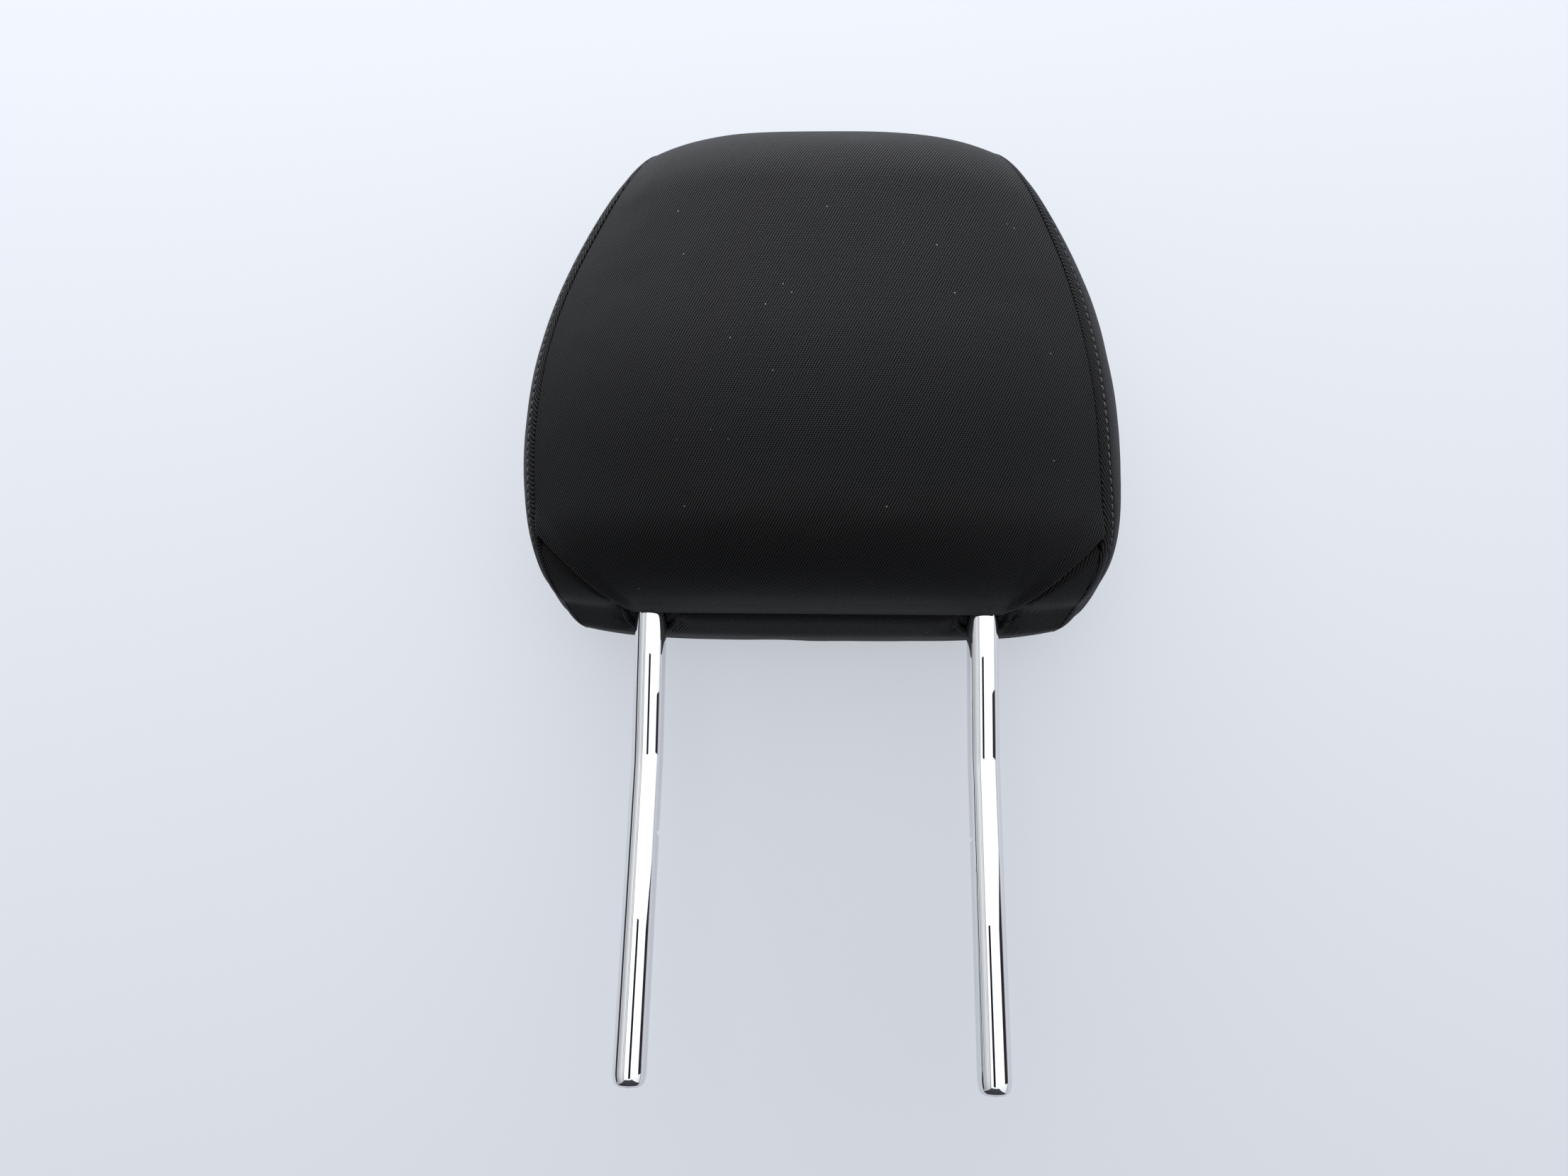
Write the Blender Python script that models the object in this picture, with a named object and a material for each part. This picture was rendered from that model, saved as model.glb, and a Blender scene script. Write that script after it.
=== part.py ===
"""Car headrest on two bent steel posts, modelled lying on its back as it rests on a table.

X runs across the headrest, +Y from the tips of the posts towards the crown of the cushion, and
+Z out of the front face. The floor is Z = 0 and the origin is below the middle of its length.
The cushion is described in its own height, which is 0 at the hem between the posts. Metres.
"""
import math

import bpy
from mathutils import Vector

# The cushion's outer form
CUSHION_TOP = 0.2075           # hem to crown
CUSHION_FRONT = 0.0965         # front face above the floor
BOTTOM_DROP = 0.0088           # the bottom edge below the hem
BOTTOM_EDGE_Z = 0.036          # height above the floor at which the bottom edge is lowest
FRONT_FOOT_LEVEL = 0.003       # corner of the profile where the front turns in to the hem
FRONT_FOOT_Z = 0.0925
FRONT_BOW_LEVEL = 0.085        # level at which the front face stands proudest
BOW_CORNER_RISE = 0.0015       # the bow's corner lies this far outside its arc
FRONT_HEAD_Z = 0.080           # corner of the profile where the front turns over the top
SEAM_TOP = 0.200               # where the side seam passes over the top
SEAM_BOTTOM = -0.0055          # where the side seam passes under the bottom
SEAM_FRONT = 0.073             # height of the front run of the seam above the floor
SEAM_BACK = 0.018              # height of its back run
SEAM_HALF_WIDTH = 0.1137       # half the distance between the side seams at the belly
BELLY_LEVEL = 0.050            # level at which the cushion is widest
TOP_NARROWING = 0.0420         # how much the seam has moved in at the crown
TOP_NARROWING_POWER = 2.25     # how late it moves in on the way there
BOTTOM_NARROWING = 0.0135      # how much it has moved in at the bottom edge
BOTTOM_NARROWING_POWER = 3.0
SIDE_BULGE = 0.0100            # how far the side panels swell out past their seams
SIDE_SWELL_POWER = 0.6         # below 1 the swelling starts steeply at the seam
FRONT_BOTTOM_RADIUS = 0.036
FRONT_BOW_RADIUS = 0.250
FRONT_TOP_RADIUS = 0.044
BACK_TOP_RADIUS = 0.038
BACK_BOTTOM_RADIUS = 0.020
BOTTOM_EDGE_RADIUS = 0.012
HEM_BEND_RADIUS = 0.018        # where the lower panel turns up into the front, at the hem
BACK_SETTLED = 0.004           # how far the soft back is pressed flat where it lies on the floor
FRONT_CROWNING = 2.8           # how late the wrap falls away towards its seams, in depth
TOP_CROWNING = 3.3             # and in height, at the crown
BOTTOM_CROWNING = 6.0          # and at the bottom edge

# The posts
POST_DIAMETER = 0.013
POST_WALL = 0.002
POST_SPACING = 0.137           # between the centre lines
POST_HEIGHT_Z = 0.046          # centre line above the floor, inside the cushion
POST_NECK = 0.0605             # hem to bend
POST_BEND = math.radians(11.6)
POST_BEND_RADIUS = 0.040
POST_LOWER = 0.1246            # bend to tip
POST_TAPER = 0.0056
POST_TIP_DIAMETER = 0.0090
POST_TIP_HOLE = 0.0030
CROSSBAR_LEVEL = 0.118
CROSSBAR_RADIUS = 0.026
NOTCH_DISTANCE = 0.0292        # bend to notch, along the post
NOTCH_LENGTH = 0.0040
NOTCH_DEPTH = 0.0013
SECOND_NOTCH_DISTANCE = 0.0304
SECOND_NOTCH_LENGTH = 0.0030
SECOND_NOTCH_DEPTH = 0.0011
NOTCH_FLOOR_SHARE = 0.3        # how much of a notch's length is flat at its floor

# The cover
COVER_THICKNESS = 0.003        # cloth with its foam backing
SEAM_GAP = 0.0003              # between one panel's edge and the next
HEM_GAP = 0.0006               # between the folded hem and the lower panel under it
SIDE_RIM = 0.0012              # depth of the side panel's edge at its seam
HEM_CLEARANCE = 0.0025         # the hem above the posts, which come out just behind it
HEM_FOLD = 0.0012              # how far the folded hem stands proud of the lower panel
HEM_FOLD_REACH = 0.012         # over what length that fades into the front
HEM_HALF_WIDTH = 0.0730        # half the straight hem, where it turns into the diagonals
HEM_CORNER_LEVEL = 0.029       # level at which the diagonals meet the side seams
HEM_DIAGONAL_RISE = 0.70       # below 1 the diagonals climb early, which keeps them straight in front
BACK_SEAM_LEVEL = 0.148        # the cross seam on the back
OPENING_WIDTH = 0.0224         # slot in the lower panel for a post
OPENING_DEPTH = 0.0195
OPENING_ROUNDNESS = 0.98       # share of the slot's half depth that its corner arcs take up

# The wire hoop welded to the posts, which carries the upper foam
WIRE_DIAMETER = 0.005
WIRE_FOOT_LEVEL = 0.050
WIRE_SHOULDER_LEVEL = 0.100
WIRE_TOP_LEVEL = 0.178
WIRE_HALF_WIDTH = 0.062        # at its top run
WIRE_SIDE_LEAN = 0.012         # how much wider the hoop is where its top corners start
WIRE_SIDE_DROP = 0.020         # how far below its top run they start
WIRE_CORNER_RADIUS = 0.022
WIRE_TOP_RADIUS = 0.0073

# The plastic closure strips that hook together behind the hem
CLOSURE_LENGTH = 0.106
CLOSURE_PLATE = 0.0100
CLOSURE_HEIGHT = 0.0044
CLOSURE_HOOK = 0.0030
CLOSURE_WALL = 0.0012
CLOSURE_PLAY = 0.0006          # room round the strips in the foam
CLOSURE_MOUTH = 0.012          # how far that room opens towards the hem

# The row of topstitching beside each front seam
STITCH_OFFSET = 0.0042         # seam to stitch row, over the side panel
STITCH_PITCH = 0.0038
STITCH_LENGTH = 0.0027
STITCH_DIAMETER = 0.0008
STITCH_NECK_DIAMETER = 0.0004  # of the thread where it dips between two stitches
STITCH_LIFT = 0.00072          # the thread's centre line above the cloth
STITCH_START_LEVEL = 0.020
STITCH_END_LEVEL = 0.165

TOUCHING_GAP = 0.0003
FOAM_CLEARANCE = 0.0016        # the foam's play inside its cover
CUTTER_PROUD = 0.002           # how far the cutters stand out past what they cut

# How finely the surfaces are divided
LOOP_DIVISIONS = 60
WRAP_DIVISIONS = 20
SIDE_RINGS = (1.0, 0.94, 0.80, 0.58, 0.30)
SWAGE_STATIONS = (0.0, 0.12, 0.45, 1.0)
POST_SIDES = 20
WIRE_SIDES = 10
THREAD_SIDES = 6
PROFILE_STEP = math.radians(4)
BEND_STEP = math.radians(9)
COARSE_BEND_STEP = math.radians(15)
SHARP_ANGLE = math.radians(35)
SEARCH_LIMIT = 0.00001

# What follows from the sizes above: the hem's height above the floor and its place on the part's
# Y axis, whose origin is at the middle of the length
HEM_LEVEL_Z = POST_HEIGHT_Z + POST_DIAMETER / 2 + HEM_CLEARANCE
POST_REACH = POST_NECK + POST_LOWER * math.cos(POST_BEND)
TIP_OVERHANG = POST_TIP_DIAMETER / 2 * math.sin(POST_BEND)
HEM_Y = (POST_REACH + TIP_OVERHANG - CUSHION_TOP) / 2
FLOOR_DEPTH = -BACK_SETTLED    # the back's free form reaches this far below the floor


def clear_scene():
    for old in list(bpy.data.objects):
        bpy.data.objects.remove(old, do_unlink=True)


# Paths

def rounded_path(corners, closed=False, step=BEND_STEP):
    """Points along a path of straight runs whose corners (point, radius) are rounded by arcs."""
    points = []
    count = len(corners)
    for index, (corner, radius) in enumerate(corners):
        corner = Vector(corner)
        at_end = not closed and index in (0, count - 1)
        if at_end or radius == 0:
            points.append(corner)
            continue
        back = (Vector(corners[index - 1][0]) - corner).normalized()
        ahead = (Vector(corners[(index + 1) % count][0]) - corner).normalized()
        opening = back.angle(ahead)
        reach = radius / math.tan(opening / 2)
        centre = corner + (back + ahead).normalized() * (radius / math.sin(opening / 2))
        start = corner + back * reach - centre
        end = corner + ahead * reach - centre
        turn = math.pi - opening
        arcs = 2 * math.ceil(turn / step / 2)
        for number in range(arcs + 1):
            share = number / arcs
            spoke = start * math.sin((1 - share) * turn) + end * math.sin(share * turn)
            points.append(centre + spoke / math.sin(turn))
    return points


def measured(points):
    """The distance along a path at each of its points."""
    distances = [0.0]
    for before, after in zip(points, points[1:]):
        distances.append(distances[-1] + (after - before).length)
    return distances


def point_at(points, distances, distance):
    """The point and direction at a distance along a path."""
    low, high = 0, len(points) - 1
    while high - low > 1:
        middle = (low + high) // 2
        if distances[middle] <= distance:
            low = middle
        else:
            high = middle
    span = distances[high] - distances[low]
    share = (distance - distances[low]) / span
    return points[low].lerp(points[high], share), (points[high] - points[low]) / span


def side_profile():
    """The side profile at the cushion's middle, from the hem up the front and round the back.

    Its coordinates are (level, height above the floor).
    """
    hem = Vector((0.0, HEM_LEVEL_Z))
    points = rounded_path([
        (hem, HEM_BEND_RADIUS),
        ((FRONT_FOOT_LEVEL, FRONT_FOOT_Z), FRONT_BOTTOM_RADIUS),
        ((FRONT_BOW_LEVEL, CUSHION_FRONT + BOW_CORNER_RISE), FRONT_BOW_RADIUS),
        ((CUSHION_TOP, FRONT_HEAD_Z), FRONT_TOP_RADIUS),
        ((CUSHION_TOP, FLOOR_DEPTH), BACK_TOP_RADIUS),
        ((-BOTTOM_DROP, FLOOR_DEPTH), BACK_BOTTOM_RADIUS),
        ((-BOTTOM_DROP, BOTTOM_EDGE_Z), BOTTOM_EDGE_RADIUS),
    ], closed=True, step=PROFILE_STEP)
    start = min(range(len(points)), key=lambda index: (points[index] - hem).length)
    return points[start:] + points[:start + 1]


PROFILE = side_profile()
PROFILE_DISTANCES = measured(PROFILE)
GIRTH = PROFILE_DISTANCES[-1]
PROFILE_BOTTOM = min(point.x for point in PROFILE)


def profile(distance, inset):
    """The middle profile, moved inwards by inset."""
    point, direction = point_at(PROFILE, PROFILE_DISTANCES, distance % GIRTH)
    inward = Vector((direction.y, -direction.x))
    return point + inward * inset


def seam_of(point):
    """Where the side seam runs for a point of the middle profile."""
    level_share = (point.x - PROFILE_BOTTOM) / (CUSHION_TOP - PROFILE_BOTTOM)
    depth_share = (point.y - FLOOR_DEPTH) / (CUSHION_FRONT - FLOOR_DEPTH)
    return Vector((
        SEAM_BOTTOM + level_share * (SEAM_TOP - SEAM_BOTTOM),
        SEAM_BACK + depth_share * (SEAM_FRONT - SEAM_BACK),
    ))


def seam_half_width(level):
    """Half the distance between the side seams at a level."""
    if level > BELLY_LEVEL:
        share = (level - BELLY_LEVEL) / (SEAM_TOP - BELLY_LEVEL)
        return SEAM_HALF_WIDTH - TOP_NARROWING * share ** TOP_NARROWING_POWER
    share = (BELLY_LEVEL - level) / (BELLY_LEVEL - SEAM_BOTTOM)
    return SEAM_HALF_WIDTH - BOTTOM_NARROWING * share ** BOTTOM_NARROWING_POWER


def placed(x, level, height):
    return Vector((x, HEM_Y + level, height))


def seam_point(distance, inset):
    """The seam loop, moved inwards by inset: (level, height)."""
    outer = seam_of(profile(distance, 0.0))
    _, direction = point_at(PROFILE, PROFILE_DISTANCES, distance % GIRTH)
    return outer + Vector((direction.y, -direction.x)) * inset


def wrap_point(distance, across, inset):
    """A point of the wrap between the side seams: across runs from -1 to 1."""
    middle = profile(distance, inset)
    seam = seam_point(distance, inset)
    high = min(1.0, max(0.0, middle.x / CUSHION_TOP))
    crowning = BOTTOM_CROWNING + (TOP_CROWNING - BOTTOM_CROWNING) * high
    level = middle.x + (seam.x - middle.x) * abs(across) ** crowning
    height = middle.y + (seam.y - middle.y) * abs(across) ** FRONT_CROWNING
    half_width = seam_half_width(seam_of(profile(distance, 0.0)).x)
    return placed(across * half_width, level, max(height, inset))


def side_point(distance, share, side, inset, bulge, rim):
    """A point of a side's dome: share is 1 on the seam and 0 at its middle."""
    seam = seam_point(distance, inset)
    centre = Vector(((SEAM_TOP + SEAM_BOTTOM) / 2, (SEAM_FRONT + SEAM_BACK) / 2))
    point = centre + (seam - centre) * share
    swell = bulge * (1 - share ** 2) ** SIDE_SWELL_POWER
    return placed(side * (seam_half_width(point.x) + rim + swell), point.x, point.y)


# Bodies

def new_object(name, vertices, faces, material):
    """A mesh object, shaded smooth but for its crisp edges."""
    mesh = bpy.data.meshes.new(name)
    mesh.from_pydata([tuple(vertex) for vertex in vertices], [], faces)
    mesh.validate()
    mesh.materials.append(material)
    thing = bpy.data.objects.new(name, mesh)
    bpy.context.scene.collection.objects.link(thing)
    mesh.shade_smooth()
    mesh.set_sharp_from_angle(angle=SHARP_ANGLE)
    return thing


def strip_faces(first, second, closed):
    """Quads between two equal rows of vertex numbers."""
    count = len(first)
    last = count if closed else count - 1
    faces = []
    for index in range(last):
        after = (index + 1) % count
        faces.append((first[index], first[after], second[after], second[index]))
    return faces


def split_quads(vertices, faces, outwards=True):
    """Splits each quad of the cushion's surface along the diagonal that lies further out, or in."""
    centre = placed(0.0, CUSHION_TOP / 2, CUSHION_FRONT / 2)
    split = []
    for face in faces:
        if len(face) != 4:
            split.append(face)
            continue
        first, second, third, fourth = face
        one = (vertices[first] + vertices[third]) / 2
        other = (vertices[second] + vertices[fourth]) / 2
        normal = (vertices[third] - vertices[first]).cross(vertices[fourth] - vertices[second])
        if normal.dot(one - centre) < 0:
            normal.negate()
        if ((one - other).dot(normal) > 0) == outwards:
            split += [(first, second, third), (first, third, fourth)]
        else:
            split += [(second, third, fourth), (second, fourth, first)]
    return split


def sheet_body(name, rows, columns, outer, inner, material):
    """A shell: outer and inner give the two surfaces' points for a row and a column."""
    vertices = []
    for surface in (outer, inner):
        for row in range(rows + 1):
            vertices.extend(surface(row, column) for column in range(columns + 1))
    width = columns + 1
    layer = (rows + 1) * width

    def row_of(number, offset):
        return [offset + number * width + column for column in range(width)]

    faces = []
    for number in range(rows):
        faces += strip_faces(row_of(number, 0), row_of(number + 1, 0), False)
        faces += strip_faces(row_of(number + 1, layer), row_of(number, layer), False)
    rim = row_of(0, 0)
    rim += [row * width + columns for row in range(1, rows + 1)]
    rim += [rows * width + column for column in range(columns - 1, -1, -1)]
    rim += [row * width for row in range(rows - 1, 0, -1)]
    under = [layer + number for number in rim]
    faces += strip_faces(under, rim, True)
    return outward(new_object(name, vertices, split_quads(vertices, faces), material))


def outward(thing):
    """Turns a closed mesh's faces out if they point in."""
    mesh = thing.data
    mesh.calc_loop_triangles()
    volume = 0.0
    for triangle in mesh.loop_triangles:
        first, second, third = (mesh.vertices[index].co for index in triangle.vertices)
        volume += first.dot(second.cross(third))
    if volume < 0:
        mesh.flip_normals()
    return thing


def swept_tube(name, path, sides, outer_radius, inner_radius, material):
    """A tube along a path, with radii given for each point; without inner radii it is a rod."""
    vertices = []
    rings = []
    for radii in (outer_radius, inner_radius):
        if radii is None:
            continue
        side_axis = Vector((0.0, 0.0, 1.0))
        for index, point in enumerate(path):
            before = path[max(index - 1, 0)]
            after = path[min(index + 1, len(path) - 1)]
            along = (after - before).normalized()
            side_axis = (side_axis - along * side_axis.dot(along)).normalized()
            other_axis = along.cross(side_axis)
            ring = []
            for number in range(sides):
                angle = math.tau * number / sides
                spoke = side_axis * math.cos(angle) + other_axis * math.sin(angle)
                ring.append(len(vertices))
                vertices.append(point + spoke * radii[index])
            rings.append(ring)
    count = len(path)
    faces = []
    for index in range(count - 1):
        faces += strip_faces(rings[index], rings[index + 1], True)
    if inner_radius is None:
        faces.append(tuple(reversed(rings[0])))
        faces.append(tuple(rings[count - 1]))
    else:
        for index in range(count, 2 * count - 1):
            faces += strip_faces(rings[index + 1], rings[index], True)
        faces += strip_faces(rings[count], rings[0], True)
        faces += strip_faces(rings[count - 1], rings[2 * count - 1], True)
    return outward(new_object(name, vertices, faces, material))


def prism(name, outline, start, end, material=None):
    """A straight prism over an outline of points, from start to end."""
    count = len(outline)
    vertices = [point + start for point in outline] + [point + end for point in outline]
    near = list(range(count))
    far = list(range(count, 2 * count))
    faces = strip_faces(near, far, True) + [tuple(reversed(near)), tuple(far)]
    return outward(new_object(name, vertices, faces, material))


def cut(thing, cutter):
    """Cuts one solid from another and keeps the cutter as a hidden guide."""
    cutter.hide_render = True
    cutter.display_type = "WIRE"
    boolean = thing.modifiers.new(cutter.name, "BOOLEAN")
    boolean.operation = "DIFFERENCE"
    boolean.solver = "EXACT"
    boolean.object = cutter


# Materials

def material(name, colour, roughness, metallic=0.0):
    made = bpy.data.materials.new(name)
    made.use_nodes = True
    shader = made.node_tree.nodes["Principled BSDF"]
    shader.inputs["Base Color"].default_value = (*colour, 1.0)
    shader.inputs["Roughness"].default_value = roughness
    shader.inputs["Metallic"].default_value = metallic
    return made


# Posts and wire

def post_corners():
    """The post frame's centre line, from the left tip over the crossbar to the right tip."""
    half = POST_SPACING / 2
    tip_level = -POST_REACH
    tip_height = POST_HEIGHT_Z + POST_LOWER * math.sin(POST_BEND)
    left = [
        (placed(-half, tip_level, tip_height), 0),
        (placed(-half, -POST_NECK, POST_HEIGHT_Z), POST_BEND_RADIUS),
        (placed(-half, CROSSBAR_LEVEL, POST_HEIGHT_Z), CROSSBAR_RADIUS),
    ]
    right = [(Vector((-point.x, point.y, point.z)), radius) for point, radius in reversed(left)]
    return left + right


def post_path():
    """The centre line with extra points where the tips are swaged."""
    points = rounded_path(post_corners())
    swaged = [share * POST_TAPER for share in SWAGE_STATIONS]
    distances = measured(points)
    length = distances[-1]
    start = [point_at(points, distances, distance)[0] for distance in swaged]
    end = [point_at(points, distances, length - distance)[0] for distance in reversed(swaged)]
    return start + points[1:-1] + end


def swage_radii(count, full, tip):
    """Radii along the post, whose ends are swaged to a quarter round."""
    radii = [full] * count
    for index, share in enumerate(SWAGE_STATIONS):
        radii[index] = tip + (full - tip) * math.sqrt(1 - (1 - share) ** 2)
        radii[count - 1 - index] = radii[index]
    return radii


def notch_outline(length, depth):
    """A notch's outline in (inwards, along the post towards the tip)."""
    floor = length * NOTCH_FLOOR_SHARE
    slope = (length - floor) / depth
    mouth = length + slope * CUTTER_PROUD
    return [(-CUTTER_PROUD, 0.0), (depth, 0.0), (depth, floor), (-CUTTER_PROUD, mouth)]


def notch_cutter(name, side, distance, length, depth):
    """A wedge across the inner face of one lower leg."""
    bend = placed(side * POST_SPACING / 2, -POST_NECK, POST_HEIGHT_Z)
    along = Vector((0.0, -math.cos(POST_BEND), math.sin(POST_BEND)))
    over = Vector((0.0, math.sin(POST_BEND), math.cos(POST_BEND)))
    inner_face = bend + along * distance - Vector((side * POST_DIAMETER / 2, 0.0, 0.0))
    outline = []
    for inward, down in notch_outline(length, depth):
        outline.append(inner_face + Vector((side * inward, 0.0, 0.0)) + along * down)
    return prism(name, outline, over * -POST_DIAMETER, over * POST_DIAMETER)


def make_posts(steel):
    path = post_path()
    outer = swage_radii(len(path), POST_DIAMETER / 2, POST_TIP_DIAMETER / 2)
    inner = swage_radii(len(path), POST_DIAMETER / 2 - POST_WALL, POST_TIP_HOLE / 2)
    posts = swept_tube("post_frame", path, POST_SIDES, outer, inner, steel)
    left_notch = (NOTCH_DISTANCE, NOTCH_LENGTH, NOTCH_DEPTH)
    right_notch = (SECOND_NOTCH_DISTANCE, SECOND_NOTCH_LENGTH, SECOND_NOTCH_DEPTH)
    cut(posts, notch_cutter("left_notch_cutter", -1, *left_notch))
    cut(posts, notch_cutter("right_notch_cutter", 1, *right_notch))


def wire_path():
    """The hoop's centre line: up beside each leg, out and over the top."""
    beside = POST_SPACING / 2 + POST_DIAMETER / 2 + TOUCHING_GAP + WIRE_DIAMETER / 2
    side = WIRE_HALF_WIDTH + WIRE_SIDE_LEAN
    left = [
        (placed(-beside, WIRE_FOOT_LEVEL, POST_HEIGHT_Z), 0),
        (placed(-beside, WIRE_SHOULDER_LEVEL, POST_HEIGHT_Z), WIRE_CORNER_RADIUS),
        (placed(-side, WIRE_TOP_LEVEL - WIRE_SIDE_DROP, POST_HEIGHT_Z), WIRE_CORNER_RADIUS),
        (placed(-WIRE_HALF_WIDTH, WIRE_TOP_LEVEL, POST_HEIGHT_Z), WIRE_TOP_RADIUS),
    ]
    right = [(Vector((-point.x, point.y, point.z)), radius) for point, radius in reversed(left)]
    return rounded_path(left + right, step=COARSE_BEND_STEP)


def make_wire(steel):
    path = wire_path()
    radii = [WIRE_DIAMETER / 2] * len(path)
    swept_tube("support_wire", path, WIRE_SIDES, radii, None, steel)


# Closure strips

def closure_outline():
    """A J section: a plate with a hooked end, in (along the plate, depth)."""
    hook_start = CLOSURE_PLATE - CLOSURE_HOOK
    return [
        (0.0, 0.0), (CLOSURE_PLATE, 0.0), (CLOSURE_PLATE, CLOSURE_HEIGHT),
        (hook_start, CLOSURE_HEIGHT), (hook_start, CLOSURE_HEIGHT - CLOSURE_WALL),
        (CLOSURE_PLATE - CLOSURE_WALL, CLOSURE_HEIGHT - CLOSURE_WALL),
        (CLOSURE_PLATE - CLOSURE_WALL, CLOSURE_WALL), (0.0, CLOSURE_WALL),
    ]


def closure_place():
    """The corner where the front strip's plate starts, and its two directions, inside the hem."""
    origin = placed(0.0, COVER_THICKNESS + 2 * TOUCHING_GAP, HEM_LEVEL_Z + CLOSURE_PLATE / 2)
    return origin, Vector((0.0, 0.0, -1.0)), Vector((0.0, 1.0, 0.0))


def closure_reach():
    """The length of the two hooked strips together."""
    return 2 * CLOSURE_PLATE - CLOSURE_HOOK - CLOSURE_WALL - TOUCHING_GAP


def closure_depth():
    """The depth of the two hooked strips together: each hook lies half way into the other."""
    return CLOSURE_HEIGHT + (CLOSURE_HEIGHT - CLOSURE_WALL) / 2


def make_closures(plastic):
    """Two like strips, the second turned half round so that the hooks hold each other."""
    origin, along, deep = closure_place()
    half_length = Vector((CLOSURE_LENGTH / 2, 0.0, 0.0))
    front = []
    back = []
    for run, depth in closure_outline():
        front.append(origin + along * run + deep * depth)
        back.append(origin + along * (closure_reach() - run) + deep * (closure_depth() - depth))
    prism("front_closure_strip", front, -half_length, half_length, plastic)
    prism("back_closure_strip", back, -half_length, half_length, plastic)


# The cover

def distance_at_seam_level(level):
    """How far up the front the seam reaches a level."""
    low, high = 0.0, GIRTH / 3
    while high - low > SEARCH_LIMIT:
        middle = (low + high) / 2
        if seam_point(middle, 0.0).x < level:
            low = middle
        else:
            high = middle
    return low


CORNER_DISTANCE = distance_at_seam_level(HEM_CORNER_LEVEL)


def hem_distance(across):
    """Where the hem runs: straight between the posts, then up a diagonal to the side seam."""
    straight = HEM_HALF_WIDTH / seam_half_width(SEAM_BOTTOM)
    share = max(0.0, (abs(across) - straight) / (1 - straight))
    return CORNER_DISTANCE * share ** HEM_DIAGONAL_RISE


def back_seam_distance():
    """How far round the profile the cross seam of the back lies."""
    low, high = GIRTH / 2, GIRTH * 0.95
    while high - low > SEARCH_LIMIT:
        middle = (low + high) / 2
        if profile(middle, 0.0).x > BACK_SEAM_LEVEL:
            low = middle
        else:
            high = middle
    return low


BACK_SEAM = back_seam_distance()


def across_at(column):
    """Columns across the wrap from -1 to 1, closer together towards the side seams."""
    return math.sin(math.pi / 2 * (2 * column / WRAP_DIVISIONS - 1))


def panel_rows(start, end):
    """How many rows a wrap panel needs at the common spacing."""
    return max(2, round((end - start) / GIRTH * LOOP_DIVISIONS))


def wrap_panel(name, first, last, fold, cloth):
    """A panel of the wrap from the distance first(across) to last(across)."""
    rows = panel_rows(first(0.0), last(0.0))

    def surface(inset):
        def at(row, column):
            across = across_at(column) * (1 - SEAM_GAP / seam_half_width(SEAM_TOP))
            start, end = first(across), last(across)
            distance = start + (end - start) * row / rows
            proud = fold * max(0.0, 1 - (distance - start) / HEM_FOLD_REACH)
            return wrap_point(distance, across, inset - proud)
        return at

    return sheet_body(name, rows, WRAP_DIVISIONS, surface(0.0), surface(COVER_THICKNESS), cloth)


def make_wrap(cloth):
    """The front panel, which carries on over the top, and the back panel, which turns under."""
    wrap_panel(
        "front_panel",
        lambda across: hem_distance(across) + HEM_GAP / 2,
        lambda across: BACK_SEAM - SEAM_GAP / 2,
        HEM_FOLD, cloth)
    back = wrap_panel(
        "back_panel",
        lambda across: BACK_SEAM + SEAM_GAP / 2,
        lambda across: GIRTH + hem_distance(across) - HEM_GAP / 2,
        0.0, cloth)
    for side, label in ((-1, "left"), (1, "right")):
        cut(back, opening_cutter(f"{label}_opening_cutter", side))


def opening_cutter(name, side):
    """A round-ended slot along Y, open towards the hem."""
    radius = OPENING_DEPTH / 2
    reach = OPENING_WIDTH / 2 - radius
    front = HEM_LEVEL_Z + COVER_THICKNESS
    back = HEM_LEVEL_Z - OPENING_DEPTH
    corner = radius * OPENING_ROUNDNESS
    centre = side * POST_SPACING / 2
    half = radius + reach
    outline = rounded_path([
        (Vector((centre - half, 0.0, front)), 0),
        (Vector((centre - half, 0.0, back)), corner),
        (Vector((centre + half, 0.0, back)), corner),
        (Vector((centre + half, 0.0, front)), 0),
    ], step=COARSE_BEND_STEP)
    start = Vector((0.0, HEM_Y + PROFILE_BOTTOM - CUTTER_PROUD, 0.0))
    end = Vector((0.0, HEM_Y + 2 * COVER_THICKNESS + CUTTER_PROUD, 0.0))
    return prism(name, outline, start, end)


def dome_vertices(side, inset, bulge, rim):
    """Rings of a side dome, from the seam inwards, and its middle point."""
    vertices = []
    for share in SIDE_RINGS:
        for number in range(LOOP_DIVISIONS):
            distance = GIRTH * number / LOOP_DIVISIONS
            vertices.append(side_point(distance, share, side, inset, bulge, rim))
    vertices.append(side_point(0.0, 0.0, side, inset, bulge, rim))
    return vertices


def dome_faces(offset):
    """The faces between a dome's rings and round its middle."""
    rings = []
    for index in range(len(SIDE_RINGS)):
        first = offset + index * LOOP_DIVISIONS
        rings.append(list(range(first, first + LOOP_DIVISIONS)))
    faces = []
    for outer, inner in zip(rings, rings[1:]):
        faces += strip_faces(outer, inner, True)
    middle = offset + len(SIDE_RINGS) * LOOP_DIVISIONS
    last = rings[-1]
    for index in range(LOOP_DIVISIONS):
        faces.append((last[index], last[(index + 1) % LOOP_DIVISIONS], middle))
    return faces


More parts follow.
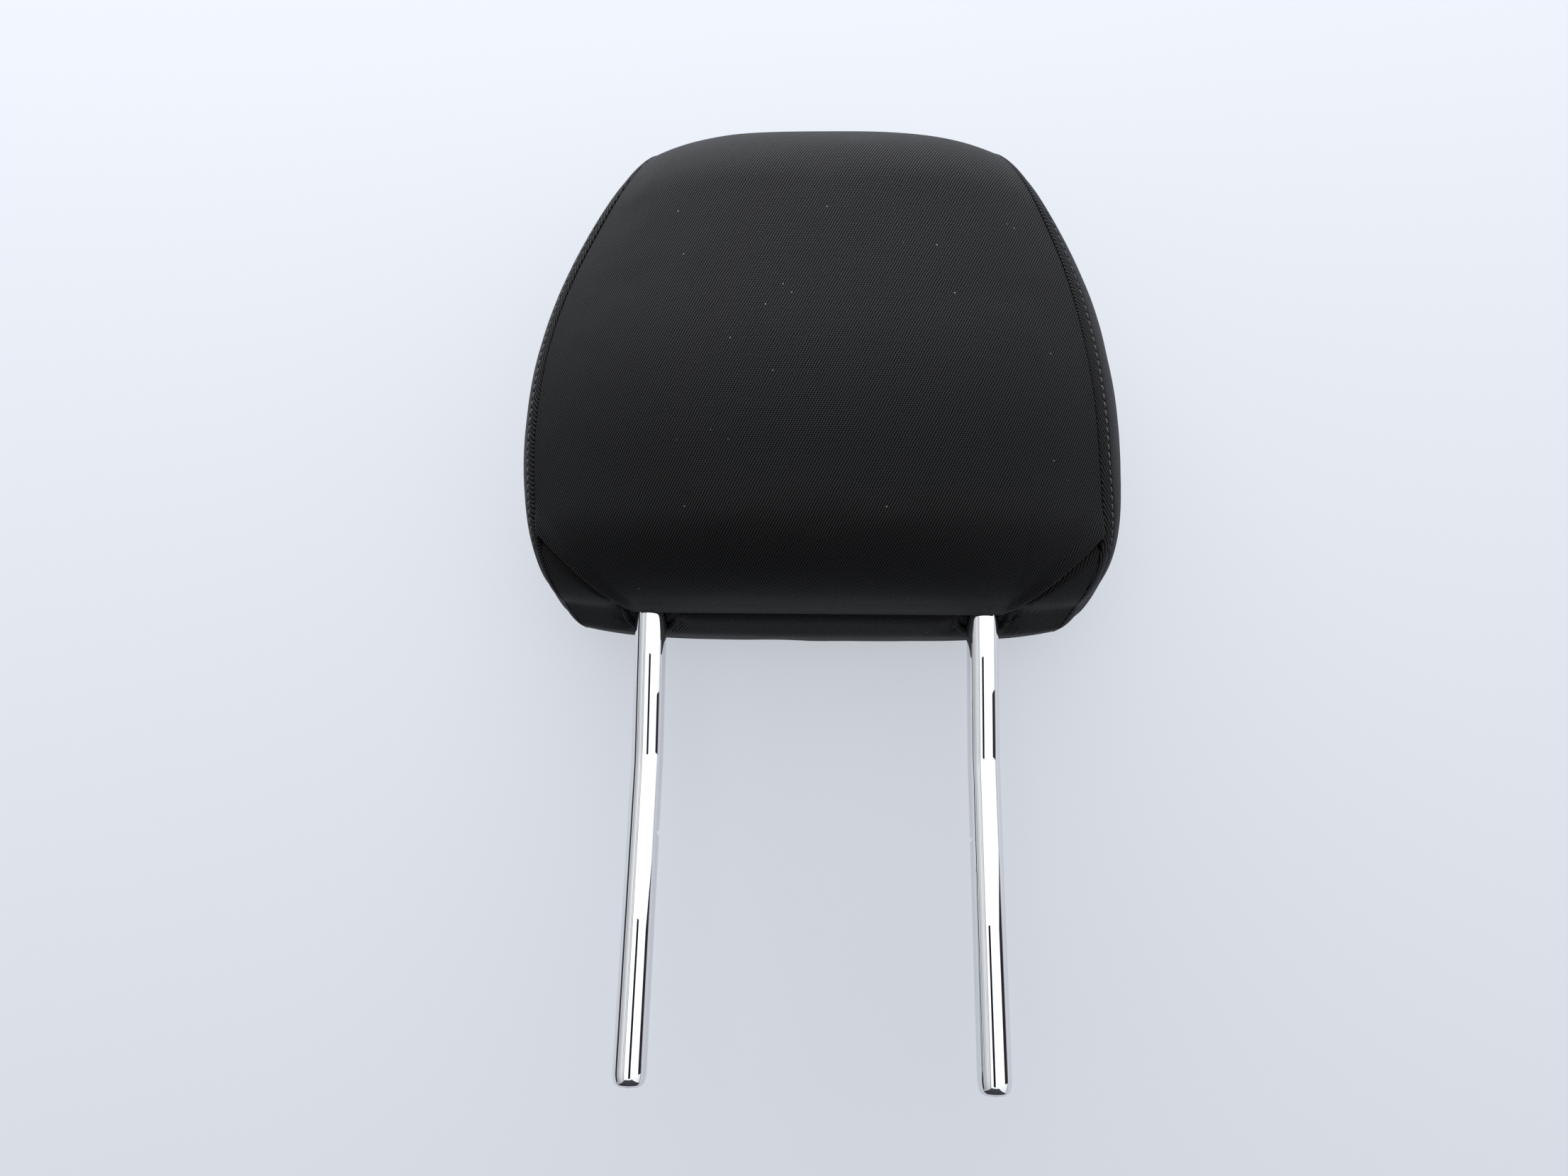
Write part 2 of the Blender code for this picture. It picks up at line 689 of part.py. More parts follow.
def make_side_panel(name, side, cloth):
    """A domed side panel: a shell whose edge meets the wrap all round."""
    bulge = SIDE_BULGE - SIDE_RIM
    outer = dome_vertices(side, 0.0, bulge, SIDE_RIM)
    inner = dome_vertices(side, COVER_THICKNESS, bulge + SIDE_RIM - COVER_THICKNESS, 0.0)
    faces = dome_faces(0)
    faces += [tuple(reversed(face)) for face in dome_faces(len(outer))]
    outer_rim = list(range(LOOP_DIVISIONS))
    inner_rim = [len(outer) + number for number in outer_rim]
    faces += strip_faces(inner_rim, outer_rim, True)
    vertices = outer + inner
    outward(new_object(name, vertices, split_quads(vertices, faces), cloth))


def stitch_path(side):
    """The thread's line beside the front seam, rising out of the cloth and dipping at each stitch."""
    half_depth = (SEAM_FRONT - SEAM_BACK) / 2
    share = 1 - STITCH_OFFSET / half_depth
    bulge = SIDE_BULGE - SIDE_RIM
    start = distance_at_seam_level(STITCH_START_LEVEL)
    end = distance_at_seam_level(STITCH_END_LEVEL)
    stitches = round((end - start) / STITCH_PITCH)
    clear = SIDE_RIM + TOUCHING_GAP + STITCH_LIFT
    points = []
    for number in range(stitches + 1):
        centre = start + number * STITCH_PITCH
        for offset in (-STITCH_LENGTH / 2, STITCH_LENGTH / 2):
            points.append(side_point(centre + offset, share, side, 0.0, bulge, clear))
    return points


def make_topstitch(name, side, thread):
    """One continuous thread: a full round on each stitch and a thin run between stitches."""
    points = stitch_path(side)
    path = []
    radii = []
    for first, second in zip(points[::2], points[1::2]):
        path += [first, first.lerp(second, 0.5), second]
        radii += [STITCH_NECK_DIAMETER / 2, STITCH_DIAMETER / 2, STITCH_NECK_DIAMETER / 2]
    swept_tube(name, path, THREAD_SIDES, radii, None, thread)


# The foam

def make_foam(foam):
    """The moulded pad that fills the cover, with room for the posts, the wire and the closure."""
    inset = COVER_THICKNESS + FOAM_CLEARANCE
    bulge = SIDE_BULGE - inset
    columns = WRAP_DIVISIONS
    vertices = []
    for column in range(columns + 1):
        across = across_at(column)
        for number in range(LOOP_DIVISIONS):
            vertices.append(wrap_point(GIRTH * number / LOOP_DIVISIONS, across, inset))
    faces = []
    rings = []
    for column in range(columns + 1):
        first = column * LOOP_DIVISIONS
        rings.append(list(range(first, first + LOOP_DIVISIONS)))
    for before, after in zip(rings, rings[1:]):
        faces += strip_faces(before, after, True)
    for side, edge in ((-1, rings[0]), (1, rings[-1])):
        dome = dome_vertices(side, inset, bulge, 0.0)[LOOP_DIVISIONS:]
        offset = len(vertices) - LOOP_DIVISIONS
        vertices += dome
        for face in dome_faces(offset):
            renamed = [edge[number - offset] if number < offset + LOOP_DIVISIONS else number
                       for number in face]
            faces.append(tuple(renamed) if side > 0 else tuple(reversed(renamed)))
    pad = outward(new_object("foam_pad", vertices, split_quads(vertices, faces, outwards=False), foam))
    cut(pad, post_channel())
    cut(pad, wire_channel())
    cut(pad, closure_pocket())


def post_channel():
    """The room that the post frame takes in the foam."""
    path = rounded_path(post_corners()[1:-1])
    radius = POST_DIAMETER / 2 + TOUCHING_GAP
    channel_radii = [radius / math.cos(math.pi / POST_SIDES)] * len(path)
    return swept_tube("post_channel_cutter", path, POST_SIDES, channel_radii, None, None)


def wire_channel():
    """The room that the wire hoop takes in the foam, a little longer than the wire."""
    path = wire_path()
    path[0] = path[0] - Vector((0.0, TOUCHING_GAP, 0.0))
    path[-1] = path[-1] - Vector((0.0, TOUCHING_GAP, 0.0))
    radius = (WIRE_DIAMETER / 2 + TOUCHING_GAP) / math.cos(math.pi / WIRE_SIDES)
    return swept_tube("wire_channel_cutter", path, WIRE_SIDES, [radius] * len(path), None, None)


def closure_pocket():
    """The room behind the hem for the two hooked strips."""
    origin, along, deep = closure_place()
    before = -CLOSURE_PLAY
    after = closure_reach() + CLOSURE_PLAY
    outer = -CLOSURE_MOUTH
    inner = closure_depth() + CLOSURE_PLAY
    outline = []
    for run, depth in ((before, outer), (after, outer), (after, inner), (before, inner)):
        outline.append(origin + along * run + deep * depth)
    across = Vector((CLOSURE_LENGTH / 2 + CLOSURE_PLAY, 0.0, 0.0))
    return prism("closure_pocket_cutter", outline, -across, across)


def main():
    clear_scene()
    steel = material("chrome_steel", (0.78, 0.79, 0.81), 0.10, 1.0)
    wire_steel = material("drawn_wire", (0.35, 0.35, 0.36), 0.40, 1.0)
    cloth = material("charcoal_cloth", (0.030, 0.030, 0.032), 0.85)
    thread = material("charcoal_thread", (0.040, 0.040, 0.043), 0.70)
    foam = material("moulded_foam", (0.62, 0.60, 0.52), 0.90)
    plastic = material("closure_plastic", (0.05, 0.05, 0.05), 0.50)
    make_posts(steel)
    make_wire(wire_steel)
    make_foam(foam)
    make_closures(plastic)
    make_wrap(cloth)
    for side, label in ((-1, "left"), (1, "right")):
        make_side_panel(f"{label}_side_panel", side, cloth)
        make_topstitch(f"{label}_topstitch", side, thread)


main()
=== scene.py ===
"""Dresses a packed car headrest: cloth cover, foam, chrome posts, floor, light and camera.

The frame's axes: X across the headrest, +Y towards the crown, +Z out of the front face, which
lies face up. Levels along Y are measured from the hem between the posts. All sizes are in metres.
"""
import math

import bmesh
import bpy
import numpy as np
from mathutils import Matrix, Vector
from mathutils.kdtree import KDTree


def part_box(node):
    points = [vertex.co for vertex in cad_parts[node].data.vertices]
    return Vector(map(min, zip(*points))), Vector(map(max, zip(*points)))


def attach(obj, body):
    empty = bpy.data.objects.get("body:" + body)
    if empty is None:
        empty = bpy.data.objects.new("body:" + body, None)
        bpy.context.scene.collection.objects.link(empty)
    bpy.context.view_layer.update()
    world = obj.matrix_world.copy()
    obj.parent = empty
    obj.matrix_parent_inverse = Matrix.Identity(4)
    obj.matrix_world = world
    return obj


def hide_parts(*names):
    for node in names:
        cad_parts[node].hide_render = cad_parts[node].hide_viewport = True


bl_info = {
    "name": "Car Headrest",
    "version": (1, 0, 0),
    "blender": (4, 5, 0),
    "location": "View3D > Sidebar > Headrest",
    "description": "Dresses a car headrest with its cloth cover, foam, chrome posts and studio",
    "category": "Object",
}

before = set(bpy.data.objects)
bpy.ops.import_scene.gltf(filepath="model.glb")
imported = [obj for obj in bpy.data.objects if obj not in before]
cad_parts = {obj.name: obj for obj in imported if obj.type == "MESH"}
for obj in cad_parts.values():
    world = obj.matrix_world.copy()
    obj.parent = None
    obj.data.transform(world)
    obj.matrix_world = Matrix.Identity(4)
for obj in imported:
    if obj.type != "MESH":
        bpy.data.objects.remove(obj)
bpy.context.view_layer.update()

GRAIN = "grain"

# The cushion's side profile at its middle, as (level, height) corners with their radii
CUSHION_TOP = 0.2075
CUSHION_FRONT = 0.0965
BOTTOM_DROP = 0.0088
FLOOR_DEPTH = -0.004
HEM_HEIGHT = 0.055
PROFILE_CORNERS = [
    ((0.0, HEM_HEIGHT), 0.018),
    ((0.003, 0.0925), 0.036),
    ((0.085, CUSHION_FRONT + 0.0015), 0.250),
    ((CUSHION_TOP, 0.080), 0.044),
    ((CUSHION_TOP, FLOOR_DEPTH), 0.038),
    ((-BOTTOM_DROP, FLOOR_DEPTH), 0.020),
    ((-BOTTOM_DROP, 0.036), 0.012),
]

# The side seams
SEAM_BOTTOM = -0.0055
SEAM_TOP = 0.200
SEAM_BACK = 0.018
SEAM_FRONT = 0.073
SEAM_HALF_WIDTH = 0.1137
SIDE_MIDDLE_LEVEL = (SEAM_TOP + SEAM_BOTTOM) / 2
SIDE_MIDDLE_HEIGHT = (SEAM_FRONT + SEAM_BACK) / 2
SIDE_HALF_DEPTH = (SEAM_FRONT - SEAM_BACK) / 2
BELLY_LEVEL = 0.050
TOP_NARROWING = 0.0420
TOP_NARROWING_POWER = 2.25
BOTTOM_NARROWING = 0.0135
BOTTOM_NARROWING_POWER = 3.0
FRONT_CROWNING = 2.8
TOP_CROWNING = 3.3
BOTTOM_CROWNING = 6.0
SIDE_BULGE = 0.0100
SIDE_RIM = 0.0012
SWELL_POWER = 0.6

# How this cover sits: it leans to the right at its crown and its foot, its shoulders slope, and
# its right side is the fuller one. Each pair of levels is where a change starts and ends.
CROWN_LEAN = 0.0022
CROWN_LEVELS = (0.09, 0.19)
FOOT_LEAN = 0.0020
FOOT_LEVELS = (0.015, 0.070)
SHOULDER_SLOPE = 0.0016
SHOULDER_LEVEL = 0.165
SHOULDER_REACH = 0.028
RIGHT_SEAM_PULL = 0.0022
FULLER_BULGE = {-1: -0.0012, 1: 0.0036}
FULLER_LEVELS = (0.11, 0.19)
SEAM_SLIT = 0.0007

# The topstitching: the levels it runs between, and the dip that it pulls into a side panel
STITCH_LEVELS = (0.020, 0.165)
STITCH_GROOVE = 0.00045
STITCH_GROOVE_REACH = 0.0005

# The hem, and the cross seam on the back with the gap between its panels
HEM_HALF_WIDTH = 0.0730
HEM_CORNER_LEVEL = 0.029
HEM_DIAGONAL_RISE = 0.70
HEM_FADE = 0.014
BACK_SEAM_LEVEL = 0.148
BACK_SEAM_GAP = 0.0003

# How the back panel lies behind the hem: its reach, its play, and where it sinks to its place
TUCK_LENGTH = 0.006
TUCK_PLAY = 0.0010
TUCK_LEVELS = (0.0015, 0.0090)

# The posts
POST_RADIUS = 0.0065
POST_HALF_SPACING = 0.0685
POST_HEIGHT = 0.046
POST_NECK = 0.0605
POST_BEND = math.radians(11.6)
POST_BEND_RADIUS = 0.040
POST_LOWER = 0.1246
CROSSBAR_LEVEL = 0.118
CROSSBAR_RADIUS = 0.026
TIP_TAPER = 0.0056
TIP_RADIUS = 0.0045
TIP_HOLE_RADIUS = 0.0015
TIP_WALL = 0.0005
TIP_FACE = 0.0004
TIP_HOLE_DEPTH = 0.008

# The notch in each lower leg: its distance from the bend, its length and its depth
NOTCHES = {-1: (0.0292, 0.0040, 0.0013), 1: (0.0304, 0.0030, 0.0011)}
NOTCH_CLEARANCE = 0.002

# The post slots, rounded at both ends: how far past the hem they are cut, how near a point of the
# sheet is drawn to their outline, how wide the cloth dips round them, and the rolled edge
OPENING_WIDTH = 0.0224
OPENING_DEPTH = 0.0195
OPENING_RADIUS = OPENING_DEPTH / 2
OPENING_STRAIGHT = OPENING_WIDTH / 2 - OPENING_RADIUS
OPENING_HEIGHT = HEM_HEIGHT - OPENING_RADIUS
OPENING_REACH = 0.020
OPENING_SNAP = 0.0013
OPENING_SOFTNESS = 0.0032
LIP_RISE = 0.006
LIP_SINK = 0.0007

# The foam: how far it lies inside the cover, and its pockets round the posts
FOAM_INSET = 0.0050
POCKET_PLAY = 0.0028
POCKET_LENGTH = 0.060
POCKET_LEVEL = 0.004

# How the cover is settled by simulation: frames, the cloth held at each seam and how that fades
SETTLE_FRAMES = 20
SETTLE_HELD = 0.003
SETTLE_EASE = 0.012
SETTLE_BLUR = 0.002
SETTLE_NEIGHBOURS = 8

# The hem's place on the Y axis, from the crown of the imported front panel
HEM_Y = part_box("front_panel")[1].y - CUSHION_TOP


# The form of the cushion

def rounded_path(corners, closed, step):
    """Points along straight runs whose corners (point, radius) are rounded by arcs."""
    points = []
    count = len(corners)
    for index, (corner, radius) in enumerate(corners):
        corner = Vector(corner)
        if radius == 0 or (not closed and index in (0, count - 1)):
            points.append(corner)
            continue
        back = (Vector(corners[index - 1][0]) - corner).normalized()
        ahead = (Vector(corners[(index + 1) % count][0]) - corner).normalized()
        opening = back.angle(ahead)
        reach = radius / math.tan(opening / 2)
        centre = corner + (back + ahead).normalized() * (radius / math.sin(opening / 2))
        start = corner + back * reach - centre
        end = corner + ahead * reach - centre
        turn = math.pi - opening
        arcs = 2 * math.ceil(turn / step / 2)
        for number in range(arcs + 1):
            share = number / arcs
            spoke = start * math.sin((1 - share) * turn) + end * math.sin(share * turn)
            points.append(centre + spoke / math.sin(turn))
    return points


def distances_along(points):
    """The distance along a path at each of its points."""
    steps = np.linalg.norm(np.diff(points, axis=0), axis=1)
    return np.concatenate([[0.0], np.cumsum(steps)])


def side_profile():
    """The middle profile as a closed path that starts at the hem."""
    points = np.array(rounded_path(PROFILE_CORNERS, True, math.radians(1)))
    start = np.argmin(np.linalg.norm(points - PROFILE_CORNERS[0][0], axis=1))
    return np.vstack([points[start:], points[:start + 1]])


def smooth_step(value):
    """0 below 0, 1 above 1 and smooth between."""
    value = np.clip(value, 0, 1)
    return value * value * (3 - 2 * value)


def ease(level, levels):
    """0 below the first of two levels, 1 above the second and smooth between."""
    return smooth_step((level - levels[0]) / (levels[1] - levels[0]))


PROFILE = side_profile()
PROFILE_DISTANCES = distances_along(PROFILE)
GIRTH = PROFILE_DISTANCES[-1]
PROFILE_BOTTOM = PROFILE[:, 0].min()


def profile(distance):
    """(level, height) of the middle profile, from the hem up the front and round the back."""
    along = np.mod(distance, GIRTH)
    level = np.interp(along, PROFILE_DISTANCES, PROFILE[:, 0])
    height = np.interp(along, PROFILE_DISTANCES, PROFILE[:, 1])
    return level, height


def seam(distance):
    """(level, height) of the side seam for a distance round the profile."""
    level, height = profile(distance)
    level_share = (level - PROFILE_BOTTOM) / (CUSHION_TOP - PROFILE_BOTTOM)
    depth_share = (height - FLOOR_DEPTH) / (CUSHION_FRONT - FLOOR_DEPTH)
    seam_level = SEAM_BOTTOM + level_share * (SEAM_TOP - SEAM_BOTTOM)
    return seam_level, SEAM_BACK + depth_share * (SEAM_FRONT - SEAM_BACK)


def seam_half_width(level):
    """Half the distance between the side seams at a level."""
    above = np.clip((level - BELLY_LEVEL) / (SEAM_TOP - BELLY_LEVEL), 0, None)
    below = np.clip((BELLY_LEVEL - level) / (BELLY_LEVEL - SEAM_BOTTOM), 0, None)
    narrowing = TOP_NARROWING * above ** TOP_NARROWING_POWER
    return SEAM_HALF_WIDTH - narrowing - BOTTOM_NARROWING * below ** BOTTOM_NARROWING_POWER


def seam_x(level, side):
    """Where the seam of one side (-1 or 1) lies on this cover, which isn't quite even."""
    lean = CROWN_LEAN * ease(level, CROWN_LEVELS) + FOOT_LEAN * (1 - ease(level, FOOT_LEVELS))
    pull = RIGHT_SEAM_PULL * np.where(side > 0, 1 - ease(level, FULLER_LEVELS), 0.0)
    slope = SHOULDER_SLOPE * np.exp(-((level - SHOULDER_LEVEL) / SHOULDER_REACH) ** 2)
    return side * (seam_half_width(level) - pull - slope) + lean


def wrap_surface(distance, across):
    """Points of the wrap between the side seams: across runs from -1 to 1."""
    level, height = profile(distance)
    seam_level, seam_height = seam(distance)
    high = np.clip(level / CUSHION_TOP, 0, 1)
    crowning = BOTTOM_CROWNING + (TOP_CROWNING - BOTTOM_CROWNING) * high
    out = np.abs(across)
    x = out * seam_x(seam_level, np.where(across < 0, -1.0, 1.0))
    y = HEM_Y + level + (seam_level - level) * out ** crowning
    z = height + (seam_height - height) * out ** FRONT_CROWNING
    return np.stack(np.broadcast_arrays(x, y, np.maximum(z, 0.0)), axis=-1)


def side_surface(distance, share, side, bulge=SIDE_BULGE - SIDE_RIM, rim=SIDE_RIM):
    """Points of a side's dome: share is 1 on the seam and 0 at the dome's middle."""
    seam_level, seam_height = seam(distance)
    level = SIDE_MIDDLE_LEVEL + (seam_level - SIDE_MIDDLE_LEVEL) * share
    height = SIDE_MIDDLE_HEIGHT + (seam_height - SIDE_MIDDLE_HEIGHT) * share
    fuller = FULLER_BULGE[side] * (1 - ease(level, FULLER_LEVELS))
    swell = (bulge + fuller) * np.clip(1 - share ** 2, 0, None) ** SWELL_POWER
    x = seam_x(level, side) + side * (rim + swell)
    return np.stack(np.broadcast_arrays(x, HEM_Y + level, height), axis=-1)


def distance_where(height_of, target, low, high):
    """The distance between low and high at which a rising function reaches a value."""
    for _ in range(40):
        middle = (low + high) / 2
        if height_of(middle) < target:
            low = middle
        else:
            high = middle
    return low


HEM_CORNER = distance_where(lambda at: seam(at)[0], HEM_CORNER_LEVEL, 0.0, GIRTH / 3)
BACK_SEAM = distance_where(lambda at: -profile(at)[0], -BACK_SEAM_LEVEL, GIRTH / 2, GIRTH * 0.95)


def hem_distance(across):
    """Where the hem runs: straight between the posts, then up a diagonal to each side seam."""
    straight = HEM_HALF_WIDTH / seam_half_width(SEAM_BOTTOM)
    share = np.clip((np.abs(across) - straight) / (1 - straight), 0, None)
    return HEM_CORNER * share ** HEM_DIAGONAL_RISE


def unit(vectors):
    return vectors / np.maximum(np.linalg.norm(vectors, axis=-1, keepdims=True), 1e-12)


def local_frame(surface, first, second, outward):
    """The surface's points, its two directions and its outward normal."""
    step, span = 0.0002, 0.002
    points = surface(first, second)
    along = unit(surface(first + step, second) - surface(first - step, second))
    aside = unit(surface(first, second + span) - surface(first, second - span))
    normal = unit(np.cross(along, aside))
    flip = np.sum(normal * (points - outward), axis=-1, keepdims=True) < 0
    return points, along, aside, np.where(flip, -normal, normal)


def turned_under(reach, radius, turn):
    """How far a folded edge goes (ahead, down) for a length of cloth past the edge."""
    arc = radius * turn
    angle = np.clip(reach, 0, arc) / radius
    rest = np.clip(reach - arc, 0, None)
    ahead = radius * np.sin(angle) + rest * math.cos(turn)
    down = radius * (1 - np.cos(angle)) + rest * math.sin(turn)
    return ahead, down


CUSHION_CENTRE = np.array([0.0, HEM_Y + CUSHION_TOP / 2, CUSHION_FRONT / 2])


# Mesh helpers

def only(*things):
    """Selects these objects alone and makes the first one active."""
    bpy.ops.object.select_all(action="DESELECT")
    for thing in things:
        thing.select_set(True)
    bpy.context.view_layer.objects.active = things[0]


def named(name):
    """Names the object that an operator has just added."""
    piece = bpy.context.object
    piece.name = name
    piece.data.name = name
    return piece


def apply_all(piece):
    """Applies a piece's modifiers in their order."""
    only(piece)
    for modifier in list(piece.modifiers):
        bpy.ops.object.modifier_apply(modifier=modifier.name)


def settle(piece):
    """Puts a piece's place into its mesh, so its object stands at the origin."""
    only(piece)
    bpy.ops.object.transform_apply(location=True, rotation=True, scale=True)


def points_of(mesh):
    found = np.zeros(len(mesh.vertices) * 3)
    mesh.vertices.foreach_get("co", found)
    return found.reshape(-1, 3)


def move_points(mesh, points):
    mesh.vertices.foreach_set("co", np.asarray(points, float).ravel())
    mesh.update()


def normals_of(mesh):
    found = np.zeros(len(mesh.vertices) * 3)
    mesh.vertices.foreach_get("normal", found)
    return found.reshape(-1, 3)


def set_grain(mesh, grain):
    """Keeps the cloth's flat coordinates, one pair for each point, as the mesh's UV."""
    if not mesh.uv_layers:
        mesh.uv_layers.new(name=GRAIN)
    mesh.uv_layers[0].name = GRAIN
    corners = np.zeros(len(mesh.loops), int)
    mesh.loops.foreach_get("vertex_index", corners)
    mesh.uv_layers[0].data.foreach_set("uv", grain[corners].ravel())


def add_cloth_grid(name, places, grain):
    """A grid primitive whose points are laid on places[row, column]."""
    rows, columns = places.shape[0] - 1, places.shape[1] - 1
    bpy.ops.object.select_all(action="DESELECT")
    bpy.ops.mesh.primitive_grid_add(x_subdivisions=columns, y_subdivisions=rows, size=1.0)
    piece = named(name)
    flat = points_of(piece.data)
    column = np.rint((flat[:, 0] + 0.5) * columns).astype(int)
    row = np.rint((flat[:, 1] + 0.5) * rows).astype(int)
    move_points(piece.data, places[row, column])
    set_grain(piece.data, grain[row, column])
    return piece


def add_tube(name, places, radius, resolution, capped, swelling=None):
    """A tube along places, with its radius times swelling at each of them."""
    bpy.ops.object.select_all(action="DESELECT")
    bpy.ops.curve.primitive_nurbs_path_add()
    curve = named(name).data
    curve.splines.clear()
    spline = curve.splines.new("POLY")
    spline.points.add(len(places) - 1)
    for index, place in enumerate(places):
        spline.points[index].co = (*place, 1.0)
        if swelling is not None:
            spline.points[index].radius = swelling[index]
    curve.dimensions = "3D"
    curve.fill_mode = "FULL"
    curve.bevel_depth = radius
    curve.bevel_resolution = resolution
    curve.use_fill_caps = capped
    only(bpy.context.object)
    bpy.ops.object.convert(target="MESH")
    return bpy.context.object


def clean_mesh(piece, merge=0.0, outwards=True):
    """Merges points closer than a gap and turns a closed form's faces outwards."""
    only(piece)
    bpy.ops.object.mode_set(mode="EDIT")
    bpy.ops.mesh.select_all(action="SELECT")
    if merge:
        bpy.ops.mesh.remove_doubles(threshold=merge)
    if outwards:
        bpy.ops.mesh.normals_make_consistent(inside=False)
    bpy.ops.object.mode_set(mode="OBJECT")


def cut_away(piece, cutter):
    """Takes a cutter's form out of a piece, and the cutter out of the scene."""
    cut = piece.modifiers.new("cut", "BOOLEAN")
    cut.operation = "DIFFERENCE"
    cut.solver = "EXACT"
    cut.object = cutter
    apply_all(piece)
    bpy.data.objects.remove(cutter, do_unlink=True)


def face_outwards(piece, centre):
    """Turns an open sheet's faces away from a point."""
    mesh = piece.data
    total = 0.0
    for polygon in mesh.polygons:
        total += polygon.area * polygon.normal.dot(polygon.center - Vector(centre))
    if total < 0:
        only(piece)
        bpy.ops.object.mode_set(mode="EDIT")
        bpy.ops.mesh.select_all(action="SELECT")
        bpy.ops.mesh.flip_normals()
        bpy.ops.object.mode_set(mode="OBJECT")


def give_thickness(piece, thickness):
    """Closes a sheet into a shell whose outer face stays where it is."""
    solid = piece.modifiers.new("cloth thickness", "SOLIDIFY")
    solid.thickness = thickness
    solid.offset = -1.0
    solid.use_even_offset = False
    apply_all(piece)
    only(piece)
    bpy.ops.object.shade_smooth()


def dress(piece, material, slot, *nodes):
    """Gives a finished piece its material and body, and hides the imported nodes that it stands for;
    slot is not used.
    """
    piece.data.materials.clear()
    piece.data.materials.append(material)
    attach(piece, "root")
    if nodes:
        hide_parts(*nodes)
    return piece


# Materials

def scaled(colour, share):
    return tuple(channel * share for channel in colour)


class Nodes:
    """A node tree under construction: adds nodes and links them."""

    def __init__(self, tree):
        self.tree = tree

    def add(self, kind, inputs=None, **settings):
        node = self.tree.nodes.new("ShaderNode" + kind)
        for name, value in settings.items():
            setattr(node, name, value)
        for socket, value in (inputs or {}).items():
            if isinstance(value, bpy.types.NodeSocket):
                self.tree.links.new(value, node.inputs[socket])
            else:
                node.inputs[socket].default_value = value
        return node

    def math(self, operation, first, second=0.0, third=0.0):
        node = self.add("Math", {0: first, 1: second, 2: third}, operation=operation)
        return node.outputs[0]

    def noise(self, place, scale, detail=3.0, roughness=0.5):
        inputs = {"Vector": place, "Scale": scale, "Detail": detail, "Roughness": roughness}
        return self.add("TexNoise", inputs).outputs["Fac"]

    def between(self, factor, low, high):
        """A value that runs from low to high with a factor from 0 to 1."""
        node = self.add("MapRange", {"Value": factor, "To Min": low, "To Max": high})
        return node.outputs["Result"]

    def blend(self, factor, first, second):
        node = self.add("Mix", {"Factor": factor}, data_type="RGBA")
        for index, value in ((6, first), (7, second)):
            if isinstance(value, bpy.types.NodeSocket):
                self.tree.links.new(value, node.inputs[index])
            else:
                node.inputs[index].default_value = (*value[:3], 1.0)
        return node.outputs[2]

    def place(self):
        return self.add("TexCoord").outputs["Object"]

    def stretched(self, place, scale):
        return self.add("Mapping", {"Vector": place, "Scale": scale}).outputs["Vector"]

    def wave(self, along, pitch):
        """A wave between 0 and 1 whose crests lie a pitch apart."""
        sine = self.math("SINE", self.math("MULTIPLY", along, math.tau / pitch))
        return self.math("MULTIPLY_ADD", sine, 0.5, 0.5)

    def bump(self, height, distance, strength=1.0, before=None):
        inputs = {"Height": height, "Distance": distance, "Strength": strength}
        if before is not None:
            inputs["Normal"] = before
        return self.add("Bump", inputs).outputs["Normal"]


class Shading(Nodes):
    """A material under construction."""

    def __init__(self, name):
        self.material = bpy.data.materials.new(name)
        self.material.use_nodes = True
        super().__init__(self.material.node_tree)
        self.shader = self.tree.nodes["Principled BSDF"]

    def set(self, **values):
        for name, value in values.items():
            self.shader.inputs[name.replace("_", " ")].default_value = value

    def link(self, **sockets):
        for name, socket in sockets.items():
            self.tree.links.new(socket, self.shader.inputs[name.replace("_", " ")])


